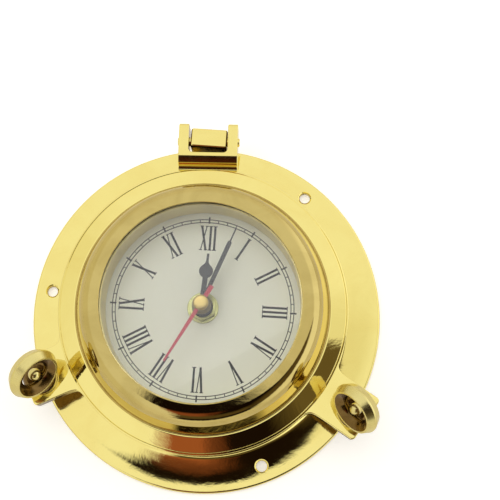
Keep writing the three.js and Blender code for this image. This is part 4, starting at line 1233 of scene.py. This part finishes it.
# %% [markdown]
# A domed cap covers the middle of the hands and turns with the second hand. It is one small lathe profile.

# %% Cap
CAP_RADIUS, CAP_BOTTOM, CAP_TOP, CAP_CHAMFER = 3.1, 36.85, 38.4, 0.15
CAP_DOME = ((3.1, 37.7), (3.1, 38.3), (2.4, 38.4), (0.01, 38.4))
cap_profile = [
    (0, CAP_BOTTOM),
    (CAP_RADIUS - CAP_CHAMFER, CAP_BOTTOM),
    (CAP_RADIUS, CAP_BOTTOM + CAP_CHAMFER),
    *flow(*CAP_DOME, 12)[:-1],
    (0, CAP_TOP),
]
keep(lathe("hand_cap_turned", cap_profile, 96), gilt, "seconds", "polished_brass", "hand_cap")

# %% [markdown]
# ## Movement
# The movement, the fixings behind the dial and the gasket hardly show, and their solids already have their
# real shapes. They stay, and each gets the finish of what it is made of.

# %% Movement finishes
DRESSED = {
    steel: ("dial_plate", "dial_screw_1", "dial_screw_2", "dial_screw_3", "contact_plus", "contact_minus",
            "motor_stator", "quartz_crystal", "second_wheel"),
    black_rubber: ("glass_gasket", "rubber_washer"),
    satin_brass: ("minute_wheel", "hour_wheel"),
    wheel_plastic: ("third_wheel", "intermediate_wheel", "motion_wheel"),
    magnet_grey: ("motor_rotor",),
    case_black: ("movement_case", "movement_cover"),
    knob_plastic: ("set_knob",),
    cell_sleeve: ("battery_cell",),
    coil_copper: ("motor_coil",),
    board_green: ("circuit_board",),
}


def dress(node, finish):
    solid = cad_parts[node]
    if not solid.material_slots:
        solid.data.materials.append(finish)
    for slot in solid.material_slots:
        slot.material = finish


for finish, nodes in DRESSED.items():
    for node in nodes:
        dress(node, finish)
print("dressed solids:", sum(len(nodes) for nodes in DRESSED.values()))

# %% [markdown]
# ## Light
# Polished metal shows the room more than itself. So the world is painted by direction: how far across, how
# far along and how high a ray looks. A little noise makes the borders ragged. The room is white overhead,
# dimmer on the right and towards the horizon, and low down brighter at the far right than at the far left.

# %% Room
ROOM_WHITE = (1.0, 1.0, 1.0, 1)
ROOM_LOW, LOW_HEIGHT = (0.95, 0.92, 0.86, 1), (0.3, 0.6)
ROOM_SIDE, SIDE_ACROSS, SIDE_DEPTH = (0.88, 0.86, 0.78, 1), (0.15, 0.32), (0.1, 0.3)
ROOM_RIGHT, RIGHT_ACROSS = (1.25, 1.26, 1.3, 1), (0.5, 0.7)
ROOM_LEFT, LEFT_ACROSS = (0.89, 0.86, 0.74, 1), (-0.5, -0.7)
FLANK_HEIGHT = (0.58, 0.72)
RAGGED_SCALE, RAGGED_BY, NOISE_MIDDLE = 7.0, 0.16, 0.5


def room_bearings(tree):
    heading = place(tree, "ShaderNodeTexCoord").outputs["Generated"]
    parts = place(tree, "ShaderNodeSeparateXYZ", {0: heading}).outputs
    cloud = noise(tree, heading, RAGGED_SCALE, Detail=3.0)
    ragged = product(tree, reckon(tree, "SUBTRACT", cloud, NOISE_MIDDLE), RAGGED_BY)
    across = reckon(tree, "ADD", parts["X"], ragged)
    depth = reckon(tree, "ADD", parts["Y"], ragged)
    return across, depth, parts["Z"]


def sky_colour(tree, across, depth, height):
    sky = mixed(tree, rises(tree, height, *LOW_HEIGHT), ROOM_LOW, ROOM_WHITE)
    side = product(tree, rises(tree, across, *SIDE_ACROSS), falls(tree, depth, *SIDE_DEPTH))
    sky = mixed(tree, side, sky, ROOM_SIDE)
    low = falls(tree, height, *FLANK_HEIGHT)
    for edge, colour in ((RIGHT_ACROSS, ROOM_RIGHT), (LEFT_ACROSS, ROOM_LEFT)):
        sky = mixed(tree, product(tree, low, rises(tree, across, *edge)), sky, colour)
    return sky


print("room colours from", ROOM_LEFT[:3], "to", ROOM_RIGHT[:3])

# %% [markdown]
# One dark place lies on the six o'clock side, and the lower half of the clock mirrors it: black at its upper
# edge and its foot, warm brown on the left, olive on the right and lower down. Four borders multiplied make
# its mask. Towards the right its upper border is lifted, and low down it is narrower.

# %% Dark place
DARK_DEEP, DEEP_HEIGHT = (0.01, 0.005, 0.003, 1), (0.36, 0.5)
DARK_WARM, WARM_ACROSS, WARM_DEPTH = (0.34, 0.098, 0.05, 1), (-0.06, 0.1), (-0.52, -0.28)
DARK_OLIVE, OLIVE_ACROSS, OLIVE_DEPTH = (0.13, 0.095, 0.045, 1), (0.32, 0.5), (-0.8, -0.64)
DARK_LEFT, DARK_RIGHT = (-0.3, -0.22), (0.72, 0.84)
DARK_UPPER, DARK_FOOT = (-0.18, -0.13), (0.2, 0.28)
LIFT_FROM, LIFT_SLOPE = 0.3, 0.42
NARROW_HEIGHT, NARROW_BY = (0.35, 0.6), 0.3


def dark_mask(tree, across, depth, height):
    past = reckon(tree, "MAXIMUM", reckon(tree, "SUBTRACT", across, LIFT_FROM), 0.0)
    lifted = reckon(tree, "SUBTRACT", depth, product(tree, past, LIFT_SLOPE))
    narrowed = reckon(tree, "ADD", across, ranged(tree, height, *NARROW_HEIGHT, NARROW_BY, 0.0))
    left, right = rises(tree, across, *DARK_LEFT), falls(tree, narrowed, *DARK_RIGHT)
    upper, foot = falls(tree, lifted, *DARK_UPPER), rises(tree, height, *DARK_FOOT)
    return product(tree, left, right, upper, foot)


def dark_colour(tree, across, depth, height):
    warmth = product(tree, falls(tree, across, *WARM_ACROSS), falls(tree, depth, *WARM_DEPTH))
    dark = mixed(tree, warmth, DARK_DEEP, DARK_WARM)
    olive = reckon(tree, "MAXIMUM", rises(tree, across, *OLIVE_ACROSS), falls(tree, depth, *OLIVE_DEPTH))
    dark = mixed(tree, olive, dark, DARK_OLIVE)
    return mixed(tree, rises(tree, height, *DEEP_HEIGHT), DARK_DEEP, dark)


print("dark place across", DARK_LEFT[0], "to", DARK_RIGHT[1])

# %% [markdown]
# The world mixes the dark place into the room. What the camera sees directly stays plain white.

# %% World
def build_world():
    world = bpy.data.worlds.new("light_tent")
    world.use_nodes = True
    tree = world.node_tree
    bearings = room_bearings(tree)
    mask, sky, dark = (paint(tree, *bearings) for paint in (dark_mask, sky_colour, dark_colour))
    camera_ray = place(tree, "ShaderNodeLightPath").outputs["Is Camera Ray"]
    seen = mixed(tree, camera_ray, mixed(tree, mask, sky, dark), ROOM_WHITE)
    tree.links.new(seen, tree.nodes["Background"].inputs["Color"])
    bpy.context.scene.world = world
    return world


print("world:", build_world().name)

# %% [markdown]
# The floor is a white sheet. To the camera it adds some light of its own, and a little in reflections and
# through glass, so that it reads as white paper there too, while the soft shadow under the clock stays.

# %% Floor
FLOOR_SIZE = 3.0
FLOOR_CELLS = 8
FLOOR_DROP = 0.0002
SHEET_SCALE = 30
SHEET_COLOURS = ((0.84, 0.81, 0.74), (0.86, 0.83, 0.76))
GLOW_SEEN, GLOW_BOUNCED = 0.45, 0.12


def floor_finish():
    finish, tree, shader, where = new_finish("white_sheet")
    grained = marks(tree, GRAIN, where, SHEET_SCALE)
    colour = mixed(tree, grained["Mask"], *(opaque(colour) for colour in SHEET_COLOURS))
    feed(tree, shader, {"Base Color": colour})
    shader.inputs["Roughness"].default_value = 1.0
    shader.inputs["Specular IOR Level"].default_value = 0.0
    rays = place(tree, "ShaderNodeLightPath").outputs
    bounced = reckon(tree, "MAXIMUM", rays["Is Glossy Ray"], rays["Is Transmission Ray"])
    direct = product(tree, rays["Is Camera Ray"], GLOW_SEEN)
    strength = reckon(tree, "MAXIMUM", direct, product(tree, bounced, GLOW_BOUNCED))
    glow = place(tree, "ShaderNodeEmission", {"Strength": strength})
    both = place(tree, "ShaderNodeAddShader", {0: shader.outputs[0], 1: glow.outputs[0]})
    tree.links.new(both.outputs[0], tree.nodes["Material Output"].inputs["Surface"])
    return finish


def floor():
    work = bmesh.new()
    bmesh.ops.create_grid(work, x_segments=FLOOR_CELLS, y_segments=FLOOR_CELLS, size=FLOOR_SIZE)
    mesh = drawn_mesh("floor", work)
    mesh.transform(Matrix.Translation((0, 0, -FLOOR_DROP)))
    mesh.materials.append(floor_finish())
    return new_piece("floor", mesh)


floor()
print("floor half size:", FLOOR_SIZE)

# %% [markdown]
# One large soft lamp above the twelve o'clock side gives the light a direction. Metal does not mirror it.

# %% Lamp
LAMP_SIZE = (0.9, 0.6)
LAMP_ENERGY = 2.0
LAMP_PLACE = Vector((-0.2, 0.35, 1.15))

lamp = bpy.data.objects.new("soft_lamp", bpy.data.lights.new("soft_lamp", "AREA"))
lamp.data.shape = "RECTANGLE"
lamp.data.size, lamp.data.size_y = LAMP_SIZE
lamp.data.energy = LAMP_ENERGY
lamp.visible_glossy = False
aim = (-LAMP_PLACE).to_track_quat("-Z", "Y").to_matrix().to_4x4()
lamp.matrix_world = Matrix.Translation(LAMP_PLACE) @ aim
bpy.context.scene.collection.objects.link(lamp)
print("lamp energy:", lamp.data.energy)
